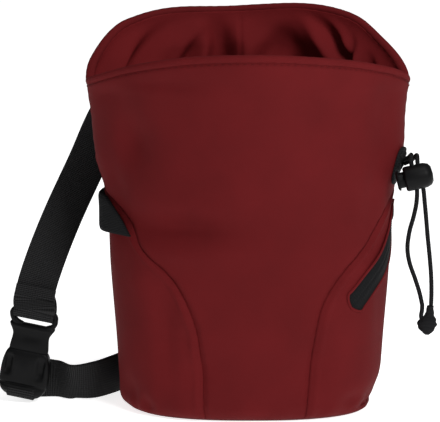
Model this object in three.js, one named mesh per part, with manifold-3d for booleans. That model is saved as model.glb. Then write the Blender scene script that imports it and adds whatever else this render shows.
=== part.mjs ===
// A climbing chalk bag that stands on its base: a sewn shell of five panels with a rolled rim, a
// gathered inner collar, a zipped side pocket, an elastic brush loop, a webbing belt closed by a
// side release buckle, and a drawcord with a sprung cord lock and a knot.
// Millimetres. +X is to the right, +Y to the back, +Z up. The origin is the middle of the base,
// on the surface that the bag stands on.
import * as THREE from 'three';
import { mergeVertices } from 'three/addons/utils/BufferGeometryUtils.js';
import Module from 'manifold-3d';

const wasm = await Module();
wasm.setup();

// Shell
const RIM_HALF_WIDTH = 82;
const RIM_HALF_DEPTH = 53;
const SIDE_RIM_HEIGHT = 166;
const FRONT_RIM_HEIGHT = 185;
const FRONT_RIM_CURVE = 1.5;
const FRONT_RIM_SKEW = 0.3;
const BACK_RIM_HEIGHT = 199;
const SHELL_WALL = 2;
const BASE_WALL = 2;
const BASE_ROUNDING = 8;
const BASE_EDGE_ANGLE = 27;
const SEAM_GAP = 0.3;
const FRONT_SEAM_HEIGHT = 109;
const BACK_SEAM_HEIGHT = 128;
const HALF_COLUMNS = 20;
const SIDE_COLUMNS = 8;
const LOWER_ROWS = 10;
const UPPER_ROWS = 5;

// Rim and collar
const RIM_LIP_HEIGHT = 3;
const RIM_PROUD = 0.4;
const COLLAR_WALL = 1.3;
const COLLAR_GAP = 0.4;
const CHANNEL_HEIGHT = 125;
const CHANNEL_SIZE = 6;
const COLLAR_HANG = 4;
const COLLAR_FOLD_DEPTH = 4;
const COLLAR_FOLDS = 9;
const RING_STEPS = 2 * HALF_COLUMNS;
const COLLAR_ROWS = 6;

// Zip
const ZIP_WIDTH = 13;
const ZIP_TAPE = 0.9;
const ZIP_COIL_WIDTH = 4;
const ZIP_COIL_HEIGHT = 1.1;
const ZIP_STEPS = 14;
const SLIDER_SIZE = 8;
const SLIDER_HEIGHT = 2.2;

// Webbing
const WEBBING_WIDTH = 20;
const WEBBING_THICKNESS = 1.5;
const BELT_STEPS = 72;
const BELT_LOOP_WIDTH = 26;
const BELT_LOOP_DROP = 27;
const BELT_LOOP_MIDDLE = BACK_RIM_HEIGHT - BELT_LOOP_DROP;
const BELT_LOOP_LENGTH = 42;
const BELT_LOOP_SEWN = 3;
const BELT_LOOP_SLACK = 1.5;
const BRUSH_LOOP_TOP = FRONT_SEAM_HEIGHT - 1.5;
const BRUSH_LOOP_HEIGHT = 20;
const BRUSH_LOOP_THICKNESS = 1.6;
const BRUSH_LOOP_STANDOFF = 5;
const BRUSH_LOOP_END = 0.8;

// Buckle
const BUCKLE_WIDTH = 25;
const BUCKLE_THICKNESS = 8;
const INSERT_THICKNESS = 4;
const INSERT_LENGTH = 22;
const SOCKET_LENGTH = 23.5;
const BUCKLE_BAR = 3.2;
const BUCKLE_SLOT = 3;
const BUCKLE_CLEARANCE = 0.4;
const BUCKLE_NECK = 0.7;
const SOCKET_MOUTH = 15.2;
const WINDOW_TOP = 2.6;
const WINDOW_LENGTH = 12.6;
const BUCKLE_PLACE = new THREE.Vector3(-111.5, 0, 26.6);
const BUCKLE_LEAN = 10;
const BUCKLE_TURN = 8;

// Drawcord and cord lock
const CORD_DIAMETER = 2.2;
const CORD_SPACING = 3;
const LOCK_DIAMETER = 12.6;
const LOCK_LENGTH = 14.3;
const LOCK_BORE = 8.6;
const LOCK_END_WALL = 1.2;
const LOCK_TRAVEL = 2.2;
const LOCK_CLEARANCE = 0.3;
const LOCK_SLOT_START = 3.6;
const BUTTON_DIAMETER = 10;
const BUTTON_HEIGHT = 1.4;
const LOCK_PLACE = new THREE.Vector3(75.9, -19, 117.6);
const LOCK_TILT = 13;
const KNOT_WIDTH = 10.5;
const KNOT_HEIGHT = 15;
const EYELET_HEIGHT = 125;
const EYELET_ANGLE = -12;
const EYELET_SIZE = 12;
const EYELET_HOLE = 7;
const EYELET_THICKNESS = 1.6;

// Sections of the shell. Heights are shares of the side rim's height, widths and depths shares of
// the rim's. square below 1 fills the corners of the oval, pinch draws its two ends to a point.
const SECTIONS = [
  { at: 0.00, width: 0.785, depth: 0.83, square: 0.80, pinch: 0.00 },
  { at: 0.19, width: 0.805, depth: 0.86, square: 0.82, pinch: 0.00 },
  { at: 0.43, width: 0.842, depth: 0.88, square: 0.88, pinch: 0.00 },
  { at: 0.60, width: 0.855, depth: 0.88, square: 0.94, pinch: 0.06 },
  { at: 0.67, width: 0.880, depth: 0.89, square: 0.97, pinch: 0.10 },
  { at: 0.77, width: 0.937, depth: 0.91, square: 1.00, pinch: 0.18 },
  { at: 0.89, width: 0.955, depth: 0.94, square: 1.00, pinch: 0.28 },
  { at: 0.96, width: 0.975, depth: 0.96, square: 1.00, pinch: 0.34 },
  { at: 1.00, width: 0.992, depth: 0.97, square: 1.00, pinch: 0.36 },
  { at: 1.20, width: 0.992, depth: 1.00, square: 1.00, pinch: 0.36 },
];

// How far the worn rim behind rises above or sags below its even curve, in mm, at a turn in degrees.
const RIM_WAVES = [
  { at: 0, rise: 0 },
  { at: 18, rise: -1.8 },
  { at: 34, rise: -2.3 },
  { at: 45, rise: -0.3 },
  { at: 56, rise: -0.5 },
  { at: 71, rise: -0.6 },
  { at: 86, rise: -1.7 },
  { at: 97, rise: -2.4 },
  { at: 108, rise: -2.2 },
  { at: 124, rise: -1.3 },
  { at: 134, rise: -0.7 },
  { at: 145, rise: 2.3 },
  { at: 160, rise: 1.8 },
  { at: 171, rise: 2.6 },
  { at: 180, rise: 0 },
];

// Front seams. Heights are shares of the front seams' height, left and right the seam's distance
// from the middle as shares of the shell's half width there.
const FRONT_SEAMS = [
  { at: 0.00, left: 0.360, right: 0.420 },
  { at: 0.21, left: 0.367, right: 0.455 },
  { at: 0.34, left: 0.385, right: 0.475 },
  { at: 0.44, left: 0.407, right: 0.490 },
  { at: 0.54, left: 0.462, right: 0.523 },
  { at: 0.63, left: 0.540, right: 0.600 },
  { at: 0.70, left: 0.635, right: 0.690 },
  { at: 0.80, left: 0.795, right: 0.845 },
  { at: 0.91, left: 0.905, right: 0.945 },
  { at: 1.00, left: 1.000, right: 1.000 },
];

// Back seams. Heights are shares of the back seams' height.
const BACK_SEAMS = [
  { at: 0.00, share: 0.70 },
  { at: 0.35, share: 0.73 },
  { at: 0.60, share: 0.80 },
  { at: 0.80, share: 0.89 },
  { at: 0.93, share: 0.97 },
  { at: 1.00, share: 1.00 },
];

// The zip's middle line on the right side panel, from its lower end. Heights are shares of the
// front seams' height, turns are degrees from the side towards the back.
const ZIP_LINE = [
  { at: 0.00, height: 0.52, turn: -43 },
  { at: 0.25, height: 0.61, turn: -33 },
  { at: 0.50, height: 0.71, turn: -19 },
  { at: 0.75, height: 0.82, turn: -6 },
  { at: 1.00, height: 0.93, turn: 4 },
];

// The belt from the buckle's upper bar, behind the bag, through the belt loop, down the far side
// and back along the ground to the buckle's lower bar. x and y are shares of the rim's half width
// and half depth, z of the belt loop's height. The across columns point along the webbing's width.
const BELT_LINE = [
  { x: -1.332, y: 0.02, z: 0.291, acrossX: 0.98, acrossY: -0.12, acrossZ: -0.15 },
  { x: -1.308, y: 0.10, z: 0.345, acrossX: 0.97, acrossY: -0.10, acrossZ: -0.20 },
  { x: -1.255, y: 0.24, z: 0.420, acrossX: 0.95, acrossY: -0.05, acrossZ: -0.30 },
  { x: -1.160, y: 0.50, z: 0.528, acrossX: 0.91, acrossY: 0.05, acrossZ: -0.40 },
  { x: -1.018, y: 0.78, z: 0.668, acrossX: 0.90, acrossY: 0.05, acrossZ: -0.43 },
  { x: -0.876, y: 0.97, z: 0.812, acrossX: 0.88, acrossY: 0.05, acrossZ: -0.48 },
  { x: -0.690, y: 1.01, z: 0.930, acrossX: 0.65, acrossY: 0.02, acrossZ: -0.76 },
  { x: -0.400, y: 1.00, z: 0.987, acrossX: 0.25, acrossY: 0.00, acrossZ: -0.97 },
  { x: 0.000, y: 1.000, z: 1.000, acrossX: 0.00, acrossY: 0.00, acrossZ: -1.00 },
  { x: 0.170, y: 1.00, z: 0.996, acrossX: -0.03, acrossY: 0.00, acrossZ: -1.00 },
  { x: 0.340, y: 1.00, z: 0.970, acrossX: -0.20, acrossY: -0.25, acrossZ: -0.95 },
  { x: 0.620, y: 1.00, z: 0.860, acrossX: -0.50, acrossY: -0.62, acrossZ: -0.60 },
  { x: 0.780, y: 0.98, z: 0.690, acrossX: -0.35, acrossY: -0.93, acrossZ: -0.12 },
  { x: 0.830, y: 0.97, z: 0.490, acrossX: 0.00, acrossY: -1.00, acrossZ: 0.00 },
  { x: 0.800, y: 0.98, z: 0.300, acrossX: -0.18, acrossY: -0.97, acrossZ: 0.04 },
  { x: 0.660, y: 1.02, z: 0.150, acrossX: -0.55, acrossY: -0.70, acrossZ: 0.44 },
  { x: 0.420, y: 1.06, z: 0.078, acrossX: -0.27, acrossY: -0.30, acrossZ: 0.90 },
  { x: 0.100, y: 1.06, z: 0.062, acrossX: 0.00, acrossY: 0.00, acrossZ: 1.00 },
  { x: -0.280, y: 1.04, z: 0.062, acrossX: 0.00, acrossY: 0.00, acrossZ: 1.00 },
  { x: -0.600, y: 0.90, z: 0.062, acrossX: 0.00, acrossY: 0.00, acrossZ: 1.00 },
  { x: -0.730, y: 0.62, z: 0.062, acrossX: 0.00, acrossY: 0.00, acrossZ: 1.00 },
  { x: -0.850, y: 0.29, z: 0.062, acrossX: 0.00, acrossY: -0.05, acrossZ: 1.00 },
  { x: -0.970, y: 0.06, z: 0.062, acrossX: 0.03, acrossY: -0.18, acrossZ: 0.98 },
  { x: -1.090, y: 0.02, z: 0.060, acrossX: 0.06, acrossY: -0.36, acrossZ: 0.92 },
  { x: -1.190, y: 0.13, z: 0.061, acrossX: 0.08, acrossY: -0.20, acrossZ: 0.96 },
  { x: -1.300, y: 0.150, z: 0.062, acrossX: 0.12, acrossY: 0.00, acrossZ: 0.98 },
  { x: -1.410, y: 0.122, z: 0.063, acrossX: 0.16, acrossY: 0.00, acrossZ: 0.98 },
];

// Routes of the drawcord's two strands, chosen by hand: out of the eyelet, over the cord lock,
// down through its slot and on to the knot.
const NEAR_STRAND = [
  [76.0, -9.3, 125.9], [78.0, -10.4, 127.0], [79.2, -13.0, 128.8], [79.2, -16.2, 129.4], [79.0, -18.4, 128.2],
  [79.1, -19, 126], [79.8, -19, 123], [80.6, -19, 119.4], [81.4, -19, 116], [82.1, -19, 112.4],
  [81.9, -19, 106], [80.6, -19.2, 99.2], [78.6, -19.4, 91.6], [77.7, -19.6, 83.1], [78.8, -19.6, 76],
  [81.6, -19.3, 68], [84.0, -19, 60.5], [85.4, -19, 54.4],
];
const FAR_STRAND = [
  [76.3, -7.5, 123.6], [79.2, -8.6, 125.2], [81.2, -11.8, 127.6], [82.0, -15.4, 129.2], [82.1, -18.0, 128.4],
  [82.2, -19, 126], [82.9, -19, 123], [83.7, -19, 119.4], [84.5, -19, 116], [85.3, -19, 112.4],
  [86.0, -19, 106], [86.7, -19, 99.2], [87.7, -19, 88.6], [88.7, -19, 79.6], [89.6, -19, 69.5],
  [89.9, -19, 61], [89.8, -19, 54.4],
];
const KNOT_PLACE = new THREE.Vector3(87.8, -19, 46.6);
const CORD_SIDES = 8;
const CORD_STEPS = 32;

const degrees = THREE.MathUtils.degToRad;
const UP = new THREE.Vector3(0, 0, 1);

// A column of a table as a smooth function of its at column.
function column(table, key) {
  const places = table.map((row) => row.at);
  const values = table.map((row) => row[key]);
  const last = table.length - 1;
  const slope = (i) => {
    const before = Math.max(i - 1, 0);
    const after = Math.min(i + 1, last);
    return (values[after] - values[before]) / (places[after] - places[before]);
  };
  return (at) => {
    const place = Math.min(Math.max(at, places[0]), places[last]);
    let i = 0;
    while (i < last - 1 && place > places[i + 1]) i += 1;
    const step = places[i + 1] - places[i];
    const t = (place - places[i]) / step;
    const rise = values[i + 1] - values[i];
    const curve = (slope(i) * step - rise) * (1 - t) - (slope(i + 1) * step - rise) * t;
    return values[i] + rise * t + curve * t * (1 - t);
  };
}

const widthShare = column(SECTIONS, 'width');
const depthShare = column(SECTIONS, 'depth');
const squareness = column(SECTIONS, 'square');
const pinch = column(SECTIONS, 'pinch');
const leftSeam = column(FRONT_SEAMS, 'left');
const rightSeam = column(FRONT_SEAMS, 'right');
const backSeam = column(BACK_SEAMS, 'share');
const rimWave = column(RIM_WAVES, 'rise');

const halfWidthAt = (height) => RIM_HALF_WIDTH * widthShare(height / SIDE_RIM_HEIGHT);
const halfDepthAt = (height) => RIM_HALF_DEPTH * depthShare(height / SIDE_RIM_HEIGHT);

// A point of the shell: turn 0 is the right side, a quarter turn back the middle of the front.
function shellPoint(turn, height, inset, sectionHeight = height) {
  const power = squareness(sectionHeight / SIDE_RIM_HEIGHT);
  const tip = pinch(sectionHeight / SIDE_RIM_HEIGHT);
  const along = Math.cos(turn);
  const across = Math.sin(turn);
  const x = (halfWidthAt(sectionHeight) - inset) * Math.sign(along) * Math.abs(along) ** power;
  const swell = 1 - tip * along * along;
  const y = (halfDepthAt(sectionHeight) - inset) * Math.sign(across) * Math.abs(across) ** power * swell;
  return new THREE.Vector3(x, y, height);
}

// The rim is lowest at its two ends, higher in front, where it is fuller on the right, and highest
// behind.
function rimHeight(turn) {
  const share = Math.abs(Math.sin(turn));
  if (Math.sin(turn) < 0) {
    const curve = FRONT_RIM_CURVE - FRONT_RIM_SKEW * Math.cos(turn);
    return SIDE_RIM_HEIGHT + (FRONT_RIM_HEIGHT - SIDE_RIM_HEIGHT) * share ** curve;
  }
  const rise = share * share * (3 - 2 * share);
  const wave = rimWave(THREE.MathUtils.radToDeg(Math.acos(Math.cos(turn))));
  return SIDE_RIM_HEIGHT + (BACK_RIM_HEIGHT - SIDE_RIM_HEIGHT) * rise + wave;
}

// The turn at which the shell lies a share of its half width from the middle.
function turnOf(share, height) {
  const power = squareness(height / SIDE_RIM_HEIGHT);
  return Math.acos(Math.min(share, 1) ** (1 / power));
}

// The small turn that moves a point sideways by a length along the shell.
function turnForLength(turn, height, length) {
  const step = 0.02;
  const chord = shellPoint(turn + step, height, 0).distanceTo(shellPoint(turn - step, height, 0));
  return (length * 2 * step) / chord;
}

// A closed body from points and triangles, turned so that its faces point out.
function body(points, triangles) {
  let volume = 0;
  for (const [a, b, c] of triangles) {
    volume += points[a].dot(new THREE.Vector3().crossVectors(points[b], points[c]));
  }
  const turned = volume > 0 ? triangles : triangles.map(([a, b, c]) => [a, c, b]);
  const geometry = new THREE.BufferGeometry();
  geometry.setAttribute('position', new THREE.Float32BufferAttribute(points.flatMap((p) => p.toArray()), 3));
  geometry.setIndex(turned.flat());
  geometry.computeVertexNormals();
  return geometry;
}

// A wall between two grids of points with the same rows and columns, closed along its edges.
function wall(outer, inner, around = false) {
  const rows = outer.length;
  const columns = outer[0].length;
  const points = [...outer.flat(), ...inner.flat()];
  const triangles = [];
  const quad = (a, b, c, d) => triangles.push([a, b, c], [a, c, d]);
  const out = (i, j) => i * columns + (j % columns);
  const back = (i, j) => rows * columns + out(i, j);
  const spans = around ? columns : columns - 1;
  for (let i = 0; i < rows - 1; i += 1) {
    for (let j = 0; j < spans; j += 1) {
      quad(out(i, j), out(i, j + 1), out(i + 1, j + 1), out(i + 1, j));
      quad(back(i, j), back(i + 1, j), back(i + 1, j + 1), back(i, j + 1));
    }
    if (!around) {
      quad(out(i, 0), out(i + 1, 0), back(i + 1, 0), back(i, 0));
      quad(out(i, spans), back(i, spans), back(i + 1, spans), out(i + 1, spans));
    }
  }
  for (let j = 0; j < spans; j += 1) {
    quad(out(0, j), back(0, j), back(0, j + 1), out(0, j + 1));
    quad(out(rows - 1, j), out(rows - 1, j + 1), back(rows - 1, j + 1), back(rows - 1, j));
  }
  return body(points, triangles);
}

// A closed section carried along a row of frames, each a centre and two directions.
function carried(frames, section) {
  const sides = section.length;
  const points = frames.flatMap(({ centre, across, out }) => section.map(([b, h]) =>
    centre.clone().addScaledVector(across, b).addScaledVector(out, h)));
  const triangles = [];
  const at = (i, j) => i * sides + (j % sides);
  const spans = frames.length - 1;
  for (let i = 0; i < spans; i += 1) {
    for (let j = 0; j < sides; j += 1) {
      triangles.push([at(i, j), at(i, j + 1), at(i + 1, j + 1)], [at(i, j), at(i + 1, j + 1), at(i + 1, j)]);
    }
  }
  const outline = section.map(([b, h]) => new THREE.Vector2(b, h));
  for (const [a, b, c] of THREE.ShapeUtils.triangulateShape(outline, [])) {
    triangles.push([at(0, a), at(0, c), at(0, b)]);
    triangles.push([at(spans, a), at(spans, b), at(spans, c)]);
  }
  return body(points, triangles);
}

// Rows of a panel: round the base's edge, up the wall, and on to the rim.
function panelRows() {
  const rows = [];
  for (let i = 0; i <= 3; i += 1) {
    const angle = degrees(BASE_EDGE_ANGLE + ((90 - BASE_EDGE_ANGLE) * i) / 3);
    const place = (radius) => ({
      inset: BASE_ROUNDING - radius * Math.sin(angle),
      height: BASE_ROUNDING - radius * Math.cos(angle),
    });
    rows.push({ outer: place(BASE_ROUNDING), inner: place(BASE_ROUNDING - SHELL_WALL), rim: 0 });
  }
  for (let i = 1; i <= LOWER_ROWS; i += 1) {
    const height = BASE_ROUNDING + ((BACK_SEAM_HEIGHT - BASE_ROUNDING) * i) / LOWER_ROWS;
    rows.push({ outer: { inset: 0, height }, inner: { inset: SHELL_WALL, height }, rim: 0 });
  }
  return rows;
}

// A panel between two seams, given as turns at a height, with or without the stretch to the rim.
function panel(from, to, columns, toRim) {
  const outer = [];
  const inner = [];
  const addRow = (row, share) => {
    const height = Math.max(row.outer.height, BASE_ROUNDING);
    const start = from(height) + turnForLength(from(height), height, SEAM_GAP / 2);
    const end = to(height) - turnForLength(to(height), height, SEAM_GAP / 2);
    const turns = Array.from({ length: columns + 1 }, (_, j) => start + ((end - start) * j) / columns);
    const raise = (place, turn) => {
      const top = rimHeight(turn) - RIM_LIP_HEIGHT - SEAM_GAP;
      return place.height + (top - place.height) * share;
    };
    outer.push(turns.map((turn) => shellPoint(turn, raise(row.outer, turn), row.outer.inset)));
    inner.push(turns.map((turn) => shellPoint(turn, raise(row.inner, turn), row.inner.inset)));
  };
  const rows = panelRows();
  if (!toRim) rows.pop();
  for (const row of rows) addRow(row, 0);
  if (toRim) {
    const last = rows[rows.length - 1];
    for (let i = 1; i <= UPPER_ROWS; i += 1) addRow(last, i / UPPER_ROWS);
  }
  return wall(outer, inner);
}

const rightFrontTurn = (height) => -turnOf(rightSeam(height / FRONT_SEAM_HEIGHT), height);
const leftFrontTurn = (height) => Math.PI + turnOf(leftSeam(height / FRONT_SEAM_HEIGHT), height);
const rightBackTurn = (height) => turnOf(backSeam(height / BACK_SEAM_HEIGHT), height);
const leftBackTurn = (height) => Math.PI - rightBackTurn(height);

function basePanel() {
  const rounding = (BASE_ROUNDING - SHELL_WALL) * Math.sin(degrees(BASE_EDGE_ANGLE));
  const edge = BASE_ROUNDING - rounding + SEAM_GAP / 2;
  const ring = (height) => Array.from({ length: RING_STEPS }, (_, j) =>
    shellPoint((j / RING_STEPS) * 2 * Math.PI, height, edge, 0));
  const middles = [new THREE.Vector3(0, 0, 0), new THREE.Vector3(0, 0, BASE_WALL)];
  const points = [...ring(0), ...ring(BASE_WALL), ...middles];
  const triangles = [];
  for (let j = 0; j < RING_STEPS; j += 1) {
    const next = (j + 1) % RING_STEPS;
    triangles.push([2 * RING_STEPS, next, j], [2 * RING_STEPS + 1, RING_STEPS + j, RING_STEPS + next]);
    triangles.push([j, next, RING_STEPS + next], [j, RING_STEPS + next, RING_STEPS + j]);
  }
  return body(points, triangles);
}

// The rolled rim, a rounded band that caps the panels and the collar.
function rimBinding() {
  const reach = SHELL_WALL + COLLAR_GAP + COLLAR_WALL + RIM_PROUD;
  const section = [
    [-RIM_PROUD, 0], [-RIM_PROUD, 0.65], [0.2 * reach, 0.93], [0.45 * reach, 1], [0.75 * reach, 0.93],
    [reach, 0.6], [reach, 0],
  ];
  const rows = Array.from({ length: RING_STEPS }, (_, j) => {
    const turn = (j / RING_STEPS) * 2 * Math.PI;
    const low = rimHeight(turn) - RIM_LIP_HEIGHT;
    return section.map(([inset, share]) => shellPoint(turn, low + share * RIM_LIP_HEIGHT, inset));
  });
  const points = rows.flat();
  const sides = section.length;
  const triangles = [];
  for (let i = 0; i < RING_STEPS; i += 1) {
    for (let j = 0; j < sides; j += 1) {
      const a = i * sides + j;
      const b = i * sides + ((j + 1) % sides);
      const c = ((i + 1) % RING_STEPS) * sides + ((j + 1) % sides);
      const d = ((i + 1) % RING_STEPS) * sides + j;
      triangles.push([a, b, c], [a, c, d]);
    }
  }
  return body(points, triangles);
}

// The collar hangs from the rim inside the shell and gathers towards the drawcord's channel,
// which is a thicker hem along its lower edge.
function innerCollar() {
  const outer = [];
  const inner = [];
  const low = CHANNEL_HEIGHT - CHANNEL_SIZE / 2;
  for (let i = 0; i <= COLLAR_ROWS; i += 1) {
    const share = i / COLLAR_ROWS;
    const hem = i >= COLLAR_ROWS - 1 ? CHANNEL_SIZE / 2 : 0;
    const point = (turn, extra) => {
      const top = rimHeight(turn) - RIM_LIP_HEIGHT - SEAM_GAP;
      const fold = 0.5 - 0.5 * Math.cos(COLLAR_FOLDS * turn + 0.8 * Math.sin(2 * turn));
      const hang = COLLAR_HANG * share + COLLAR_FOLD_DEPTH * share * fold;
      const rowHeight = share < 1 ? top + (low + CHANNEL_SIZE - top) * (i / (COLLAR_ROWS - 1)) : low;
      return shellPoint(turn, rowHeight, SHELL_WALL + COLLAR_GAP + hang + extra);
    };
    const turns = Array.from({ length: RING_STEPS }, (_, j) => (j / RING_STEPS) * 2 * Math.PI);
    outer.push(turns.map((turn) => point(turn, 0)));
    inner.push(turns.map((turn) => point(turn, COLLAR_WALL + hem)));
  }
  return wall(outer, inner, true);
}

// A frame on the shell's outside at a place of the zip's line.
function zipFrame(share, lift) {
  const heightOf = column(ZIP_LINE, 'height');
  const turnAt = column(ZIP_LINE, 'turn');
  const place = (at) => shellPoint(degrees(turnAt(at)), heightOf(at) * FRONT_SEAM_HEIGHT, 0);
  const step = 0.01;
  const along = place(share + step).sub(place(share - step)).normalize();
  const turn = degrees(turnAt(share));
  const height = heightOf(share) * FRONT_SEAM_HEIGHT;
  const side = shellPoint(turn + step, height, 0).sub(shellPoint(turn - step, height, 0)).normalize();
  const rise = shellPoint(turn, height + 1, 0).sub(shellPoint(turn, height - 1, 0)).normalize();
  const out = new THREE.Vector3().crossVectors(side, rise).normalize();
  const across = new THREE.Vector3().crossVectors(out, along).normalize();
  return { centre: place(share).addScaledVector(out, lift), across, out, along };
}

function zipTape() {
  const half = ZIP_WIDTH / 2;
  const coil = ZIP_COIL_WIDTH / 2;
  const top = ZIP_TAPE + ZIP_COIL_HEIGHT;
  const section = [
    [-half, 0], [half, 0], [half, ZIP_TAPE], [coil, ZIP_TAPE], [coil * 0.7, top], [-coil * 0.7, top],
    [-coil, ZIP_TAPE], [-half, ZIP_TAPE],
  ];
  const frames = Array.from({ length: ZIP_STEPS + 1 }, (_, i) =>
    zipFrame(0.02 + (0.96 * i) / ZIP_STEPS, 2 * SEAM_GAP));
  return carried(frames, section);
}

// A point of the left side, a turn from the side towards the front, standing off the shell.
function leftSidePoint(turn, height, standoff) {
  return shellPoint(Math.PI + turn, height, -standoff);
}

// The elastic band round the left side, sewn down along both seams and standing off between them.
function brushLoop() {
  const outer = [];
  const inner = [];
  const rows = 5;
  const columns = 10;
  for (let i = 0; i <= rows; i += 1) {
    const height = BRUSH_LOOP_TOP - BRUSH_LOOP_HEIGHT + (BRUSH_LOOP_HEIGHT * i) / rows;
    const seam = leftFrontTurn(height) - Math.PI;
    const front = seam - turnForLength(Math.PI + seam, height, SEAM_GAP);
    const behind = -turnOf(BRUSH_LOOP_END, height);
    const row = (extra) => Array.from({ length: columns + 1 }, (_, j) => {
      const share = j / columns;
      const standoff = 2 * SEAM_GAP + BRUSH_LOOP_STANDOFF * Math.sin(Math.PI * share) ** 0.8;
      return leftSidePoint(front + (behind - front) * share, height, standoff + extra);
    });
    outer.push(row(BRUSH_LOOP_THICKNESS));
    inner.push(row(0));
  }
  return wall(outer, inner);
}

// Frames along a line of places and width directions, smoothed through all of them.
function ribbonFrames(places, widths, steps) {
  const line = new THREE.CatmullRomCurve3(places, false, 'centripetal');
  const sideways = new THREE.CatmullRomCurve3(widths, false, 'catmullrom');
  return Array.from({ length: steps + 1 }, (_, i) => {
    const t = i / steps;
    const along = line.getTangent(t).normalize();
    const across = sideways.getPoint(t);
    across.addScaledVector(along, -across.dot(along)).normalize();
    const out = new THREE.Vector3().crossVectors(along, across).normalize();
    return { centre: line.getPoint(t), across, out };
  });
}

function flatSection(width, thickness) {
  return [
    [-width / 2, -thickness / 2], [width / 2, -thickness / 2],
    [width / 2, thickness / 2], [-width / 2, thickness / 2],
  ];
}

const beltPoint = (row) =>
  new THREE.Vector3(row.x * RIM_HALF_WIDTH, row.y * RIM_HALF_DEPTH, row.z * BELT_LOOP_MIDDLE);

function beltWebbing() {
  const widths = BELT_LINE.map((row) => new THREE.Vector3(row.acrossX, row.acrossY, row.acrossZ).normalize());
  const frames = ribbonFrames(BELT_LINE.map(beltPoint), widths, BELT_STEPS);
  return carried(frames, flatSection(WEBBING_WIDTH, WEBBING_THICKNESS));
}

// The belt loop is sewn to the back at its two ends and bows out over the belt.
function beltLoop() {
  const half = BELT_LOOP_LENGTH / 2;
  const clear = RIM_HALF_DEPTH + WEBBING_THICKNESS + 2 * SEAM_GAP;
  const flat = WEBBING_WIDTH / 2 + BELT_LOOP_SLACK;
  const seat = (height) => halfDepthAt(height) + SEAM_GAP + WEBBING_THICKNESS / 2;
  const heights = [-half, -half + BELT_LOOP_SEWN, -flat, 0, flat, half - BELT_LOOP_SEWN, half];
  const places = heights.map((offset) => {
    const height = BELT_LOOP_MIDDLE + offset;
    const sewn = Math.abs(offset) > flat;
    return new THREE.Vector3(0, sewn ? seat(height) : clear, height);
  });
  const frames = ribbonFrames(places, places.map(() => new THREE.Vector3(1, 0, 0)), 16);
  return carried(frames, flatSection(BELT_LOOP_WIDTH, WEBBING_THICKNESS));
}

// Booleans between closed bodies.
function solid(geometry) {
  const plain = geometry.clone();
  plain.deleteAttribute('normal');
  plain.deleteAttribute('uv');
  const merged = mergeVertices(plain, 1e-4);
  const vertProperties = new Float32Array(merged.attributes.position.array);
  const triVerts = new Uint32Array(merged.index.array);
  return new wasm.Manifold(new wasm.Mesh({ numProp: 3, vertProperties, triVerts }));
}

function geometryOf(manifold) {
  const mesh = manifold.getMesh();
  const geometry = new THREE.BufferGeometry();
  geometry.setAttribute('position', new THREE.BufferAttribute(new Float32Array(mesh.vertProperties), 3));
  geometry.setIndex(new THREE.BufferAttribute(new Uint32Array(mesh.triVerts), 1));
  geometry.computeVertexNormals();
  return geometry;
}

// An outline of points extruded to a thickness, centred on its plane.
function plate(points, thickness) {
  const shape = new THREE.Shape(points.map(([x, y]) => new THREE.Vector2(x, y)));
  const geometry = new THREE.ExtrudeGeometry(shape, { depth: thickness, bevelEnabled: false });
  return geometry.translate(0, 0, -thickness / 2);
}

// Buckle pieces are drawn flat: x across, y along the buckle with the socket's mouth at 0.
const mirrored = (half) => [...half, ...half.slice().reverse().map(([x, y]) => [-x, y])];

function boxAt(width, height, depth, x, y, z) {
  return new THREE.BoxGeometry(width, height, depth).translate(x, y, z);
}

function buckleInsert() {
  const half = BUCKLE_WIDTH / 2;
  const neck = BUCKLE_NECK * half;
  const barLow = INSERT_LENGTH - BUCKLE_BAR - BUCKLE_SLOT;
  const outline = mirrored([
    [half - 1.5, INSERT_LENGTH], [half, INSERT_LENGTH - 1.5], [half, barLow - 1], [neck + 1, barLow - 7],
    [neck, 2], [neck, -3], [half - 2, -5.5], [half - 0.4, -9], [half - 0.6, -12], [neck + 0.5, -14.5],
    [neck - 3, -14.5], [neck - 3, -2], [2.4, -2], [2, -12],
  ]);
  const blank = solid(plate(outline, INSERT_THICKNESS));
  const slot = solid(boxAt(WEBBING_WIDTH + 1, BUCKLE_SLOT, BUCKLE_THICKNESS, 0, barLow + BUCKLE_SLOT / 2, 0));
  return geometryOf(blank.subtract(slot));
}

function buckleSocket() {
  const half = BUCKLE_WIDTH / 2;
  const low = -SOCKET_LENGTH;
  const outline = mirrored([
    [half - 1.6, 0], [half - 0.9, -1.5], [half - 0.5, -15], [half - 1, low + 5], [half - 4.5, low + 1.4],
    [half - 7.5, low],
  ]);
  const cavityThickness = INSERT_THICKNESS + 2 * BUCKLE_CLEARANCE;
  const cavityWidth = BUCKLE_NECK * BUCKLE_WIDTH + 2 * BUCKLE_CLEARANCE;
  const slotTop = low + BUCKLE_BAR + BUCKLE_SLOT;
  const blank = solid(plate(outline, BUCKLE_THICKNESS));
  const mouth = solid(boxAt(cavityWidth, 2 * SOCKET_MOUTH, cavityThickness, 0, 0, 0));
  const windowMiddle = -WINDOW_TOP - WINDOW_LENGTH / 2;
  const windows = solid(boxAt(2 * BUCKLE_WIDTH, WINDOW_LENGTH, cavityThickness, 0, windowMiddle, 0));
  const slotMiddle = slotTop - BUCKLE_SLOT / 2;
  const slot = solid(boxAt(WEBBING_WIDTH - 2, BUCKLE_SLOT, 2 * BUCKLE_THICKNESS, 0, slotMiddle, 0));
  return geometryOf(blank.subtract(mouth).subtract(windows).subtract(slot));
}

// Cord lock pieces are turned about x, with the barrel's open end at 0.
function turnedAboutX(profile, sides) {
  const points = profile.map(([radius, along]) => new THREE.Vector2(radius, along));
  return new THREE.LatheGeometry(points, sides).rotateZ(-Math.PI / 2);
}

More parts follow.
